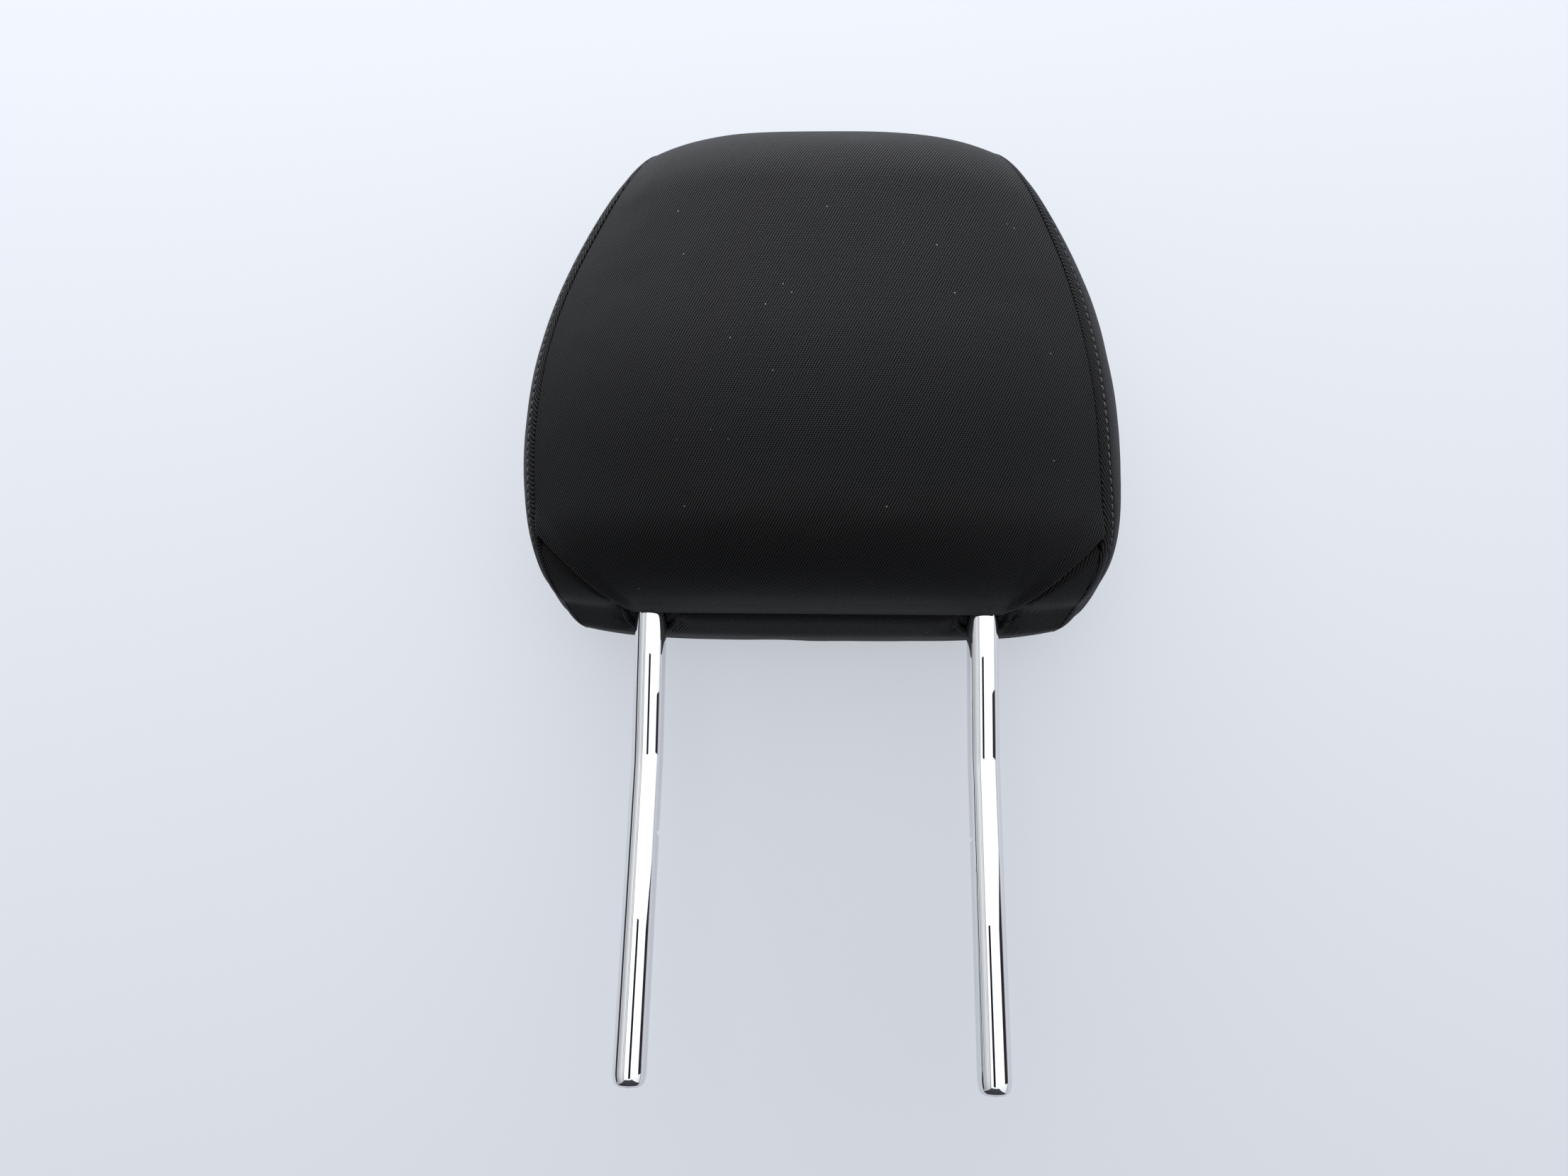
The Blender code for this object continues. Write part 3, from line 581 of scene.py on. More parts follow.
def twill_cloth(cover):
    """Charcoal twill: steep ribs crossed by rows of floats, with fuzz, faint patches and lint; its
    ribs are painted lighter on top and darker in their valleys, as painted light and shade.
    """
    made = Shading("charcoal_twill")
    grain = made.add("UVMap", uv_map=GRAIN).outputs["UV"]
    turned = made.add("Mapping", {"Vector": grain, "Rotation": (0.0, 0.0, -cover.rib_angle)},
                      vector_type="POINT").outputs["Vector"]
    wander = made.noise(grain, scale=190.0, detail=2.0)
    over = made.add("SeparateXYZ", {"Vector": turned}).outputs["Y"]
    up = made.add("SeparateXYZ", {"Vector": grain}).outputs["Y"]
    over = made.math("MULTIPLY_ADD", wander, cover.rib_pitch * 0.9, over)
    up = made.math("MULTIPLY_ADD", wander, cover.row_pitch * 0.7, up)
    row = made.between(made.wave(up, cover.row_pitch), 0.55, 1.0)
    yarn = made.math("MULTIPLY", made.wave(over, cover.rib_pitch), row)
    fuzz = made.noise(grain, scale=3600.0, detail=3.0, roughness=0.65)
    height = made.math("MULTIPLY_ADD", made.math("SUBTRACT", fuzz, 0.5), 0.28, yarn)

    patch = made.between(made.noise(grain, scale=26.0, detail=5.0, roughness=0.62), 0.74, 1.26)
    # The colour follows the height: partly the twill's own pattern, partly painted shade in the
    # valleys and painted light on rib tops and fuzz
    valley_painted_shade, ridge_painted_light = scaled(cover.cloth_colour, 0.05), scaled(cover.cloth_colour, 3.0)
    colour = made.blend(made.math("MULTIPLY", height, patch), valley_painted_shade, ridge_painted_light)
    specks = made.add("TexVoronoi", {"Vector": grain, "Scale": 300.0, "Randomness": 1.0})
    near = made.math("LESS_THAN", specks.outputs["Distance"], 0.085)
    chance = made.add("SeparateColor", {"Color": specks.outputs["Color"]}).outputs[0]
    lint = made.math("MULTIPLY", near, made.math("GREATER_THAN", chance, 0.975))

    pill = made.noise(grain, scale=900.0, detail=2.0)
    relief = made.bump(height, cover.rib_relief)
    made.link(
        Base_Color=made.blend(lint, colour, cover.lint_colour),
        Normal=made.bump(pill, distance=0.00012, strength=0.5, before=relief),
        Roughness=made.between(fuzz, 0.52, 0.72),
        Sheen_Weight=made.between(height, 0.3 * cover.sheen, 2.15 * cover.sheen),
        Specular_IOR_Level=made.between(height, 0.3 * cover.gloss, 2.15 * cover.gloss))
    made.set(Sheen_Roughness=0.5, Sheen_Tint=(0.75, 0.77, 0.82, 1.0))
    return made.material


def chrome_plate(posts):
    """Bright chrome plate: nearly a mirror, with faint long ripples and hairline scuffs."""
    made = Shading("bright_chrome")
    place = made.place()
    ripple = made.noise(made.stretched(place, (260.0, 9.0, 260.0)), 1.0, detail=2.0, roughness=0.4)
    scuff = made.noise(made.stretched(place, (2600.0, 60.0, 2600.0)), 1.0, detail=2.0, roughness=0.6)
    smudge = made.noise(place, scale=55.0, detail=4.0, roughness=0.6)
    rough = made.math("MULTIPLY_ADD", smudge, 0.012, made.math("MULTIPLY", scuff, 0.008))
    tint = made.between(smudge, 0.96, 1.03)
    channels = {index: made.math("MULTIPLY", tint, channel)
                for index, channel in enumerate(posts.chrome_colour)}
    made.link(
        Base_Color=made.add("CombineColor", channels).outputs[0],
        Normal=made.bump(ripple, distance=posts.ripple, strength=0.5),
        Roughness=made.math("ADD", rough, posts.roughness))
    made.set(Metallic=1.0)
    return made.material


def drawn_wire_steel():
    """Drawn steel wire: satin, with fine die lines along it and a thin oil film."""
    made = Shading("drawn_wire_steel")
    place = made.place()
    die = made.noise(made.stretched(place, (3200.0, 90.0, 3200.0)), 1.0, detail=2.0)
    film = made.noise(place, scale=120.0, detail=3.0)
    made.link(
        Base_Color=made.blend(film, (0.26, 0.26, 0.27), (0.42, 0.41, 0.40)),
        Roughness=made.between(die, 0.30, 0.52),
        Normal=made.bump(die, distance=0.00004, strength=0.6))
    made.set(Metallic=1.0)
    return made.material


def moulded_foam(colour):
    """Open-celled moulded foam: small cells, a smooth skin in places, a little mottled; its dark
    colour and the darker pits of its cells are painted shade.
    """
    made = Shading("moulded_foam_skin")
    place = made.place()
    cells = made.add("TexVoronoi", {"Vector": place, "Scale": 1300.0}, feature="SMOOTH_F1")
    cell = cells.outputs["Distance"]
    mottle = made.noise(place, scale=70.0, detail=4.0, roughness=0.6)
    skin = made.between(mottle, 0.75, 1.25)
    # Painted shade: the cells' pits, low in the bump, are painted darker
    shade = made.math("MULTIPLY", made.between(cell, 0.2, 1.0), skin)
    made.link(
        Base_Color=made.blend(shade, scaled(colour, 0.45), colour),
        Normal=made.bump(cell, distance=0.00030, strength=0.8),
        Roughness=made.between(mottle, 0.85, 1.0))
    return made.material


def closure_plastic():
    """Extruded matt plastic with faint draw lines."""
    made = Shading("closure_plastic")
    lines = made.noise(made.stretched(made.place(), (60.0, 2400.0, 2400.0)), 1.0, detail=2.0)
    made.link(
        Base_Color=made.blend(lines, (0.030, 0.030, 0.031), (0.060, 0.060, 0.062)),
        Roughness=made.between(lines, 0.38, 0.60),
        Normal=made.bump(lines, distance=0.00004, strength=0.5))
    return made.material


def twisted_thread(colour):
    """Bonded sewing thread with its plies showing; the grooves between the plies are painted darker as
    painted shade.
    """
    made = Shading("twisted_thread")
    plies = made.add("Mapping", {"Vector": made.place(), "Rotation": (0.6, 0.0, 0.0)})
    along = made.add("SeparateXYZ", {"Vector": plies.outputs["Vector"]}).outputs["Y"]
    ply = made.wave(along, math.tau / 9000.0)
    # Painted shade: the colour is darker where the ply's bump is low, in the grooves between the plies
    made.link(
        Base_Color=made.blend(ply, scaled(colour, 0.5), colour),
        Normal=made.bump(ply, distance=0.00006, strength=0.8),
        Roughness=made.between(ply, 0.70, 0.55))
    return made.material


def pale_floor(stage):
    """Smooth pale board with a very faint tooth; it glows with painted light that lifts its shadows, a
    little more towards the window.
    """
    made = Shading("pale_board_painted_glow")
    place = made.place()
    tooth = made.noise(place, scale=900.0, detail=3.0)
    cloud = made.noise(place, scale=3.0, detail=2.0)
    towards = made.add("SeparateXYZ", {"Vector": place}).outputs["Y"]
    # Painted light: the board's own emission lifts its shadows and grows towards the window
    painted_light_rise = stage.painted_floor_light * stage.painted_light_slope
    made.link(
        Base_Color=made.blend(cloud, scaled(stage.floor_colour, 0.985), tuple(stage.floor_colour)),
        Normal=made.bump(tooth, distance=0.0001, strength=0.15),
        Emission_Strength=made.math("MULTIPLY_ADD", towards, painted_light_rise, stage.painted_floor_light))
    made.set(Roughness=0.75, Specular_IOR_Level=0.2, Emission_Color=(*stage.painted_light_colour, 1.0))
    return made.material


# Settings

def colour_setting(name, description, default):
    return bpy.props.FloatVectorProperty(
        name=name, description=description, default=default, subtype="COLOR", size=3, min=0.0, max=1.0)


def length_setting(name, description, default, low=0.0, high=0.01):
    return bpy.props.FloatProperty(
        name=name, description=description, default=default, unit="LENGTH", min=low, max=high)


def share_setting(name, description, default):
    return bpy.props.FloatProperty(
        name=name, description=description, default=default, subtype="FACTOR", min=0.0, max=1.0)


def number_setting(name, description, default, low, high, **kind):
    return bpy.props.FloatProperty(
        name=name, description=description, default=default, min=low, max=high, **kind)


class HeadrestCoverSettings(bpy.types.PropertyGroup):
    """Sizes and colours of the sewn cover."""
    cloth_colour: colour_setting("Cloth colour", "Colour of the twill yarn", (0.0036, 0.0037, 0.0041))
    lint_colour: colour_setting("Lint colour", "Colour of the few specks of lint", (0.16, 0.165, 0.17))
    thread_colour: colour_setting("Thread colour", "Colour of the topstitching", (0.042, 0.043, 0.047))
    sheen: share_setting("Sheen", "Weight of the soft fuzz sheen", 0.06)
    gloss: share_setting("Gloss", "Strength of the yarn's soft gloss", 0.10)
    rib_pitch: length_setting("Rib pitch", "Distance between the twill's ribs", 0.00095, 0.0002)
    row_pitch: length_setting("Row pitch", "Distance between the rows of floats", 0.00077, 0.0002)
    rib_angle: number_setting(
        "Rib angle", "Slant of the ribs from the horizontal", math.radians(63), 0.0, math.pi,
        subtype="ANGLE")
    rib_relief: length_setting("Rib relief", "Height of the ribs", 0.00014)
    thickness: length_setting("Cloth thickness", "Cloth with its thin foam backing", 0.0011, 0.0004)
    seam_roll: length_setting(
        "Seam roll", "Radius of the cloth where it turns into a side seam", 0.0014, 0.0003)
    gusset_roll: length_setting(
        "Gusset roll", "Radius of the side panel's edge at the seam", 0.0019, 0.0003)
    seam_allowance: length_setting("Seam allowance", "Cloth turned in past the seam", 0.0022)
    hem_proud: length_setting("Hem height", "How far the folded hem stands proud", 0.0013)
    hem_roll: length_setting("Hem roll", "Radius of the hem's fold", 0.0015, 0.0003)
    hem_return: length_setting("Hem return", "Cloth turned back under the hem", 0.007)
    opening_sink: length_setting(
        "Opening sink", "How deep the cloth dips at the post openings", 0.0016)
    opening_lip: length_setting(
        "Opening lip", "Radius of the rolled edge round a post opening", 0.0013, 0.0003)
    settle_voxel: length_setting("Settle grid", "Cell size of the simulated cover", 0.005, 0.002)
    settle_pressure: number_setting(
        "Settle pressure", "How hard the foam presses the cover out", 4.0, 0.0, 50.0)
    settle_stiffness: number_setting(
        "Settle stiffness", "How little the cloth stretches", 25.0, 1.0, 200.0)
    settle_ease: share_setting(
        "Settle ease", "How much larger the cloth is cut than the form", 0.004)
    settle_limit: length_setting("Settle limit", "How far a point of the cover may move", 0.0015)
    stitch_pitch: length_setting("Stitch pitch", "Distance between topstitches", 0.0038, 0.001)
    stitch_length: length_setting("Stitch length", "Length of one topstitch", 0.0029, 0.0005)
    stitch_offset: length_setting(
        "Stitch offset", "Distance of the stitch row from the seam", 0.0013, 0.0005)
    thread_width: length_setting("Thread width", "Diameter of the sewing thread", 0.0008, 0.0002)


class HeadrestPostSettings(bpy.types.PropertyGroup):
    """Finish of the posts and of what is inside the cushion."""
    chrome_colour: colour_setting(
        "Chrome colour", "Reflection colour of the chrome", (0.77, 0.78, 0.80))
    roughness: share_setting("Chrome roughness", "Roughness of clean chrome", 0.004)
    ripple: length_setting("Chrome ripple", "Height of the long ripples in the tube", 0.000012)
    # The foam is kept dark as painted shade: it is what the post openings show
    foam_painted_shade_colour: colour_setting("Foam colour", "Colour of the moulded foam, kept dark as painted shade inside the post openings", (0.045, 0.045, 0.047))


class HeadrestStageSettings(bpy.types.PropertyGroup):
    """Floor, light and camera."""
    floor_colour: colour_setting(
        "Floor colour", "Colour of the board under the headrest", (0.210, 0.216, 0.233))
    # The board's glow is painted light: it lifts the floor's shadows and grows towards the window
    painted_light_colour: colour_setting(
        "Glow colour", "Colour of the painted light that the pale board gives off", (0.885, 0.925, 1.0))
    painted_floor_light: number_setting(
        "Floor glow", "Strength of the painted light that the pale board gives off", 0.53, 0.0, 2.0)
    painted_light_slope: number_setting(
        "Glow slope", "How much more painted light the board gives off, a metre nearer the window",
        0.30, -1.0, 1.0)
    room_light: number_setting(
        "Room light", "Strength of the light from all round", 1.0, 0.0, 10.0)
    room_slope: number_setting(
        "Room slope", "How much brighter the room is beyond the crown", 0.42, -1.0, 1.0)
    right_slope: number_setting(
        "Right slope", "How much brighter the room is on the right", -0.08, -1.0, 1.0)
    window_power: number_setting(
        "Window power", "Power of the large soft light beyond the crown", 46.0, 0.0, 500.0,
        unit="POWER")
    focal_length: number_setting(
        "Focal length", "The camera's lens, in millimetres", 27.67, 10.0, 200.0)


# The cover

def spaced(fine, start_step, growth, coarse, length):
    """Positions from 0 to length: fine steps that grow to a coarse one."""
    found = [0.0]
    step = start_step
    while found[-1] < length:
        found.append(found[-1] + step)
        if found[-1] > fine:
            step = min(coarse, step * growth)
    scale = np.array(found)
    return scale * (length / scale[-1])


def edge_positions(turned, length):
    """Positions along a sheet from past its edge (negative) to its middle."""
    inside = spaced(fine=0.0016, start_step=0.0004, growth=1.35, coarse=0.0024, length=length)
    return np.concatenate([-turned[::-1], inside])


def turned_positions(radius, turn, allowance):
    """Lengths of cloth past an edge: round the turn and along what is turned in."""
    arc = np.linspace(0, radius * turn, 8)[1:]
    rest = np.linspace(0, allowance, 4)[1:] + radius * turn
    return np.concatenate([arc, rest])


def wrap_grain(distance, across):
    """The cloth's flat coordinates in metres: out from the middle, and up round the profile."""
    steps = np.linspace(0, 1, 25)[:, None, None]
    spread = wrap_surface(distance[None], across[None] * steps)
    out = np.linalg.norm(np.diff(spread, axis=0), axis=-1).sum(axis=0)
    return np.stack([np.sign(across) * out, distance], axis=-1)


def wrap_columns(cover):
    """How far each column lies inside the side seam, on both halves of the wrap."""
    turned = turned_positions(cover.seam_roll, math.pi / 2, cover.seam_allowance)
    half = edge_positions(turned, SEAM_HALF_WIDTH)
    sides = np.concatenate([np.full(len(half), -1.0), np.full(len(half) - 1, 1.0)])
    return np.concatenate([half, half[-2::-1]]), sides


def wrap_places(cover, first, last, first_turned, last_turned, relief):
    """Places of a wrap panel's grid points, between two distances round the profile.

    relief(from_first, from_last) gives how far the cloth stands proud.
    """
    inside, sides = wrap_columns(cover)
    share = 1 - (np.clip(inside, 0, None) + SEAM_SLIT) / SEAM_HALF_WIDTH
    across = sides * np.clip(share, 0, 1)
    start, end = first(across), last(across)
    length = float(last(0.0) - first(0.0))
    rows_up = edge_positions(first_turned, length / 2)
    rows_down = edge_positions(last_turned, length / 2)
    up_share = np.clip(rows_up, 0, None) / length
    down_share = 1 - np.clip(rows_down, 0, None) / length
    row_share = np.concatenate([up_share, down_share[-2::-1]])[:, None]
    distance = start[None, :] + (end - start)[None, :] * row_share
    across = np.broadcast_to(across, distance.shape)
    points, along, aside, normal = local_frame(wrap_surface, distance, across, CUSHION_CENTRE)
    grain = wrap_grain(distance, across)
    points = points + normal * relief(distance - start, end - distance)[..., None]

    past_side = np.broadcast_to(np.clip(-inside, 0, None), distance.shape)
    ahead, down = turned_under(past_side, cover.seam_roll, math.pi / 2)
    outwards = aside * np.sign(sides)[None, :, None]
    points = points + outwards * ahead[..., None] - normal * down[..., None]
    grain[..., 0] += past_side * np.sign(sides)

    past_first = np.concatenate([np.clip(-rows_up, 0, None), np.zeros(len(rows_down) - 1)])
    past_last = np.concatenate([np.zeros(len(rows_up)), np.clip(-rows_down, 0, None)[-2::-1]])
    past_first, past_last = past_first[:, None], past_last[:, None]
    grain[..., 1] += past_last - past_first
    return points, grain, along, normal, past_first, past_last


def fold_under(points, direction, normal, past, radius, turn):
    """Folds the rows past an edge: direction points out over the edge."""
    ahead, down = turned_under(past, radius, turn)
    return points + direction * ahead[..., None] - normal * down[..., None]


def opening_gap(points):
    """The distance of each point from the nearest post slot's outline, negative inside it.

    The second value is the way out of the slot, across the lower panel.
    """
    side = np.where(points[..., 0] < 0, -1.0, 1.0)
    from_middle = points[..., 0] - side * POST_HALF_SPACING
    x = np.sign(from_middle) * np.clip(np.abs(from_middle) - OPENING_STRAIGHT, 0, None)
    z = np.clip(points[..., 2] - OPENING_HEIGHT, None, 0)
    away = np.stack([x, np.zeros_like(x), z], axis=-1)
    low = points[..., 1] < HEM_Y + OPENING_REACH
    return np.where(low, np.hypot(x, z) - OPENING_RADIUS, 1.0), unit(away)


def make_front_cover(cover):
    """The front of the cover: over the face and the crown, down to the back's cross seam."""
    fold = turned_positions(cover.hem_roll, math.pi, cover.hem_return)
    seam_turn = turned_positions(cover.seam_roll, math.pi / 2, cover.seam_allowance)
    points, grain, along, normal, past_first, past_last = wrap_places(
        cover, hem_distance, lambda across: BACK_SEAM - BACK_SEAM_GAP / 2 + 0 * across,
        fold, seam_turn,
        lambda from_first, from_last: cover.hem_proud * (1 - ease(from_first, (0, HEM_FADE))))
    points = fold_under(points, -along, normal, past_first, cover.hem_roll, math.pi)
    points = fold_under(points, along, normal, past_last, cover.seam_roll, math.pi / 2)
    return add_cloth_grid("front_cover", points, grain)


def make_back_cover(cover):
    """The back of the cover, which turns under the bottom and in behind the hem."""
    seam_turn = turned_positions(cover.seam_roll, math.pi / 2, cover.seam_allowance)
    tuck = np.linspace(0, TUCK_LENGTH, 6)[1:]
    recess = 2 * cover.hem_roll - cover.hem_proud + TUCK_PLAY
    points, grain, along, normal, past_first, past_last = wrap_places(
        cover, lambda across: BACK_SEAM + BACK_SEAM_GAP / 2 + 0 * across,
        lambda across: GIRTH + hem_distance(across), seam_turn, tuck,
        lambda from_first, from_last: -recess * (1 - ease(from_last, TUCK_LEVELS)))
    points = fold_under(points, -along, normal, past_first, cover.seam_roll, math.pi / 2)
    points = points + along * past_last[..., None]
    rim, away = opening_gap(points)
    near = np.abs(rim) < OPENING_SNAP
    points = points - away * np.where(near, rim, 0.0)[..., None]
    sink = cover.opening_sink * np.exp(-(np.clip(rim, 0, None) / OPENING_SOFTNESS) ** 2)
    points = points - normal * sink[..., None]
    return add_cloth_grid("back_cover", points, grain)


def add_opening_lip(cover, panel, side):
    """The rolled edge round a post slot, laid along the slot's outline on the lower panel."""
    outline = [(-OPENING_WIDTH / 2, LIP_RISE)]
    for turn in np.linspace(math.pi, math.tau, 33):
        straight = math.copysign(OPENING_STRAIGHT, math.cos(turn))
        outline.append((straight + OPENING_RADIUS * math.cos(turn), OPENING_RADIUS * math.sin(turn)))
    outline.append((OPENING_WIDTH / 2, LIP_RISE))
    places = []
    below_hem = 0.05
    for x, z in outline:
        below = Vector((side * POST_HALF_SPACING + x, HEM_Y - below_hem, OPENING_HEIGHT + z))
        found, place, _, _ = panel.ray_cast(below, Vector((0.0, 1.0, 0.0)))
        if found:
            places.append(place + Vector((0.0, LIP_SINK, 0.0)))
    lip = add_tube("opening_lip", places, cover.opening_lip, resolution=6, capped=True)
    only(lip)
    bpy.ops.object.shade_smooth()
    flat = points_of(lip.data)
    set_grain(lip.data, np.stack([flat[:, 0], flat[:, 2] + flat[:, 1]], axis=-1))
    return lip


def cut_openings(panel):
    """Takes the faces inside the two post slots, which are open to the hem, out of the sheet."""
    mesh = panel.data
    centres = np.array([tuple(polygon.center) for polygon in mesh.polygons])
    inside = opening_gap(centres)[0] < -OPENING_SNAP / 4
    mesh.polygons.foreach_set("select", inside)
    mesh.vertices.foreach_set("select", np.zeros(len(mesh.vertices), bool))
    mesh.edges.foreach_set("select", np.zeros(len(mesh.edges), bool))
    only(panel)
    bpy.ops.object.mode_set(mode="EDIT")
    bpy.context.tool_settings.mesh_select_mode = (False, False, True)
    bpy.ops.mesh.delete(type="FACE")
    bpy.ops.object.mode_set(mode="OBJECT")


def sewn_lines():
    """Points along every seam and along the hem."""
    around = np.linspace(0, GIRTH, 500)
    over = np.linspace(-1, 1, 200)
    lines = [wrap_surface(around, side + 0 * around) for side in (-1.0, 1.0)]
    lines.append(wrap_surface(hem_distance(over), over))
    lines.append(wrap_surface(BACK_SEAM + 0 * over, over))
    return np.vstack(lines)


def nearest_tree(places):
    """A search tree over places."""
    tree = KDTree(len(places))
    for index, place in enumerate(places):
        tree.insert(place, index)
    tree.balance()
    return tree


def simulated_shift(cover, context, cage):
    """How far each point of the closed cage moves in the simulation, seams and slots held."""
    start = points_of(cage.data)
    seams = nearest_tree(sewn_lines())
    gaps = np.array([seams.find(place)[2] for place in start])
    nearest = np.minimum(gaps, opening_gap(start)[0])
    held = 1 - smooth_step((nearest - SETTLE_HELD) / SETTLE_EASE)
    group = cage.vertex_groups.new(name="sewn")
    for index, weight in enumerate(held):
        group.add([index], float(weight), "REPLACE")

    modifier = cage.modifiers.new("cover cloth", "CLOTH")
    cloth = modifier.settings
    cloth.quality = 6
    cloth.mass = 0.25
    cloth.tension_stiffness = cover.settle_stiffness
    cloth.compression_stiffness = cover.settle_stiffness
    cloth.shear_stiffness = cover.settle_stiffness / 2
    cloth.bending_stiffness = 0.6
    cloth.air_damping = 4.0
    cloth.use_pressure = True
    cloth.uniform_pressure_force = cover.settle_pressure
    cloth.shrink_min = -cover.settle_ease
    cloth.vertex_group_mass = group.name
    cloth.effector_weights.gravity = 0.0
    modifier.collision_settings.use_collision = False
    modifier.point_cache.frame_start = 1
    modifier.point_cache.frame_end = SETTLE_FRAMES
    scene = context.scene
    for number in range(1, SETTLE_FRAMES + 1):
        scene.frame_set(number)
    blown = cage.evaluated_get(context.evaluated_depsgraph_get())
    shift = points_of(blown.data) - start
    scene.frame_set(1)
    return shift


def smoothed(mesh, shift, rounds):
    """Each point's shift averaged with its neighbours' for a number of rounds."""
    edges = np.zeros(len(mesh.edges) * 2, int)
    mesh.edges.foreach_get("vertices", edges)
    edges = edges.reshape(-1, 2)
    counts = np.bincount(edges.ravel(), minlength=len(shift))[:, None]
    for _ in range(rounds):
        total = np.zeros_like(shift)
        np.add.at(total, edges[:, 0], shift[edges[:, 1]])
        np.add.at(total, edges[:, 1], shift[edges[:, 0]])
        shift = (shift + total / np.maximum(counts, 1)) / 2
    return shift


def settled_shift(cover, context):
    """How the cushion's surface moves when the foam presses the cover out between its seams.

    Gives a search tree over the surface and how far each of its points moves. What points
    inwards is taken out, because it would dent the crown.
    """
    cage = make_cushion_body("settling_cover", around=160, rings=110, inset=0.0, rim=SIDE_RIM)
    cage.data.remesh_voxel_size = cover.settle_voxel
    only(cage)
    bpy.ops.object.voxel_remesh()
    mesh = cage.data
    places, normals = points_of(mesh), normals_of(mesh)
    shift = simulated_shift(cover, context, cage)
    inward = np.minimum(np.sum(shift * normals, axis=1, keepdims=True), 0)
    shift = smoothed(mesh, shift - normals * inward, rounds=2)
    length = np.linalg.norm(shift, axis=1, keepdims=True)
    capped = cover.settle_limit * np.tanh(length / cover.settle_limit)
    only(cage)
    bpy.ops.object.delete()
    return nearest_tree(places), shift * capped / np.maximum(length, 1e-9)


def carry_along(piece, tree, shift):
    """Moves a panel with the settled surface that it lies on."""
    mesh = piece.data
    places = points_of(mesh)
    for index, place in enumerate(places):
        near = tree.find_n(place, SETTLE_NEIGHBOURS)
        weights = np.array([1 / (distance + SETTLE_BLUR) ** 2 for _, _, distance in near])
        moved = weights @ shift[[found for _, found, _ in near]] / weights.sum()
        places[index] = place + moved
    places[:, 2] = np.maximum(places[:, 2], 0.0)
    move_points(mesh, places)


def side_rings(cover):
    """How far each ring of a side panel lies inside its seam, negative past the seam."""
    turned = turned_positions(cover.gusset_roll, math.pi / 2, cover.seam_allowance)
    inside = spaced(fine=0.0030, start_step=0.0002, growth=1.25, coarse=0.0024, length=SIDE_HALF_DEPTH)
    return np.concatenate([-turned[::-1], inside])


def domed_grain(points, side):
    """Flat coordinates of a dome's rings: each point's way from the middle along the cloth."""
    steps = np.linalg.norm(np.diff(points, axis=1), axis=-1)
    reach = np.cumsum(steps[:, ::-1], axis=1)[:, ::-1]
    reach = np.concatenate([reach, np.zeros((len(points), 1))], axis=1)
    towards = unit(points[..., 1:] - points[:, -1:, 1:]) * reach[..., None]
    return np.stack([towards[..., 1] * side, towards[..., 0]], axis=-1)


def make_gusset(cover, side, name):
    """A domed side panel whose edge rolls into the seam all round."""
    rings = side_rings(cover)
    inside = np.clip(rings, 0, None)[None, :]
    around = np.linspace(0, GIRTH, 241)[:, None]
    distance, share = np.broadcast_arrays(around, 1 - inside / SIDE_HALF_DEPTH)
    rim = SEAM_SLIT + (SIDE_RIM - SEAM_SLIT) * smooth_step(inside / SIDE_RIM)
    step, inner_step = 0.0004, 0.02

    def surface(at, part):
        return side_surface(at, part, side, SIDE_BULGE - SIDE_RIM, np.broadcast_to(rim, at.shape))

    points = surface(distance, share)
    along = unit(surface(distance + step, share) - surface(distance - step, share))
    inner_share = np.clip(share - inner_step, 0, None)
    inwards = unit(surface(distance, inner_share) - surface(distance, inner_share + inner_step))
    normal = unit(np.cross(along, inwards))
    middle = np.array([0.0, HEM_Y + SIDE_MIDDLE_LEVEL, SIDE_MIDDLE_HEIGHT])
    flip = np.sum(normal * (points - middle), axis=-1, keepdims=True) < 0
    normal = np.where(flip, -normal, normal)
    groove = STITCH_GROOVE * np.exp(-((inside - cover.stitch_offset) / STITCH_GROOVE_REACH) ** 2)
    points = points - normal * (groove * np.ones_like(share))[..., None]
    past = np.broadcast_to(np.clip(-rings, 0, None), share.shape)
    ahead, down = turned_under(past, cover.gusset_roll, math.pi / 2)
    points = points - inwards * (ahead * 0.4)[..., None] - normal * down[..., None]
    points[:, -1] = points[:, -1].mean(axis=0)
    piece = add_cloth_grid(name, points, domed_grain(points, side))
    clean_mesh(piece, merge=0.00001, outwards=False)
    return piece


def make_cushion_body(name, around, rings, inset, rim):
    """The whole cushion as one closed form, shaped from a sphere whose poles are its two sides."""
    bpy.ops.object.select_all(action="DESELECT")
    bpy.ops.mesh.primitive_uv_sphere_add(segments=around, ring_count=rings, radius=1.0)
    piece = named(name)
    ball = points_of(piece.data)
    latitude = np.arcsin(np.clip(ball[:, 2], -1, 1)) / (math.pi / 2)
    distance = GIRTH * np.mod(np.arctan2(ball[:, 1], ball[:, 0]) / math.tau, 1.0)
    wrap_part = 0.72
    across = np.sin(np.clip(latitude / wrap_part, -1, 1) * math.pi / 2)
    places = wrap_surface(distance, across)
    share = np.clip((1 - np.abs(latitude)) / (1 - wrap_part), 0, 1)
    for side in (-1, 1):
        dome = (np.sign(latitude) == side) & (np.abs(latitude) > wrap_part)
        places[dome] = side_surface(distance[dome], share[dome], side, SIDE_BULGE - rim, rim)
    move_points(piece.data, places)
    clean_mesh(piece)
    if inset:
        move_points(piece.data, points_of(piece.data) - normals_of(piece.data) * inset)
    return piece


# Operators

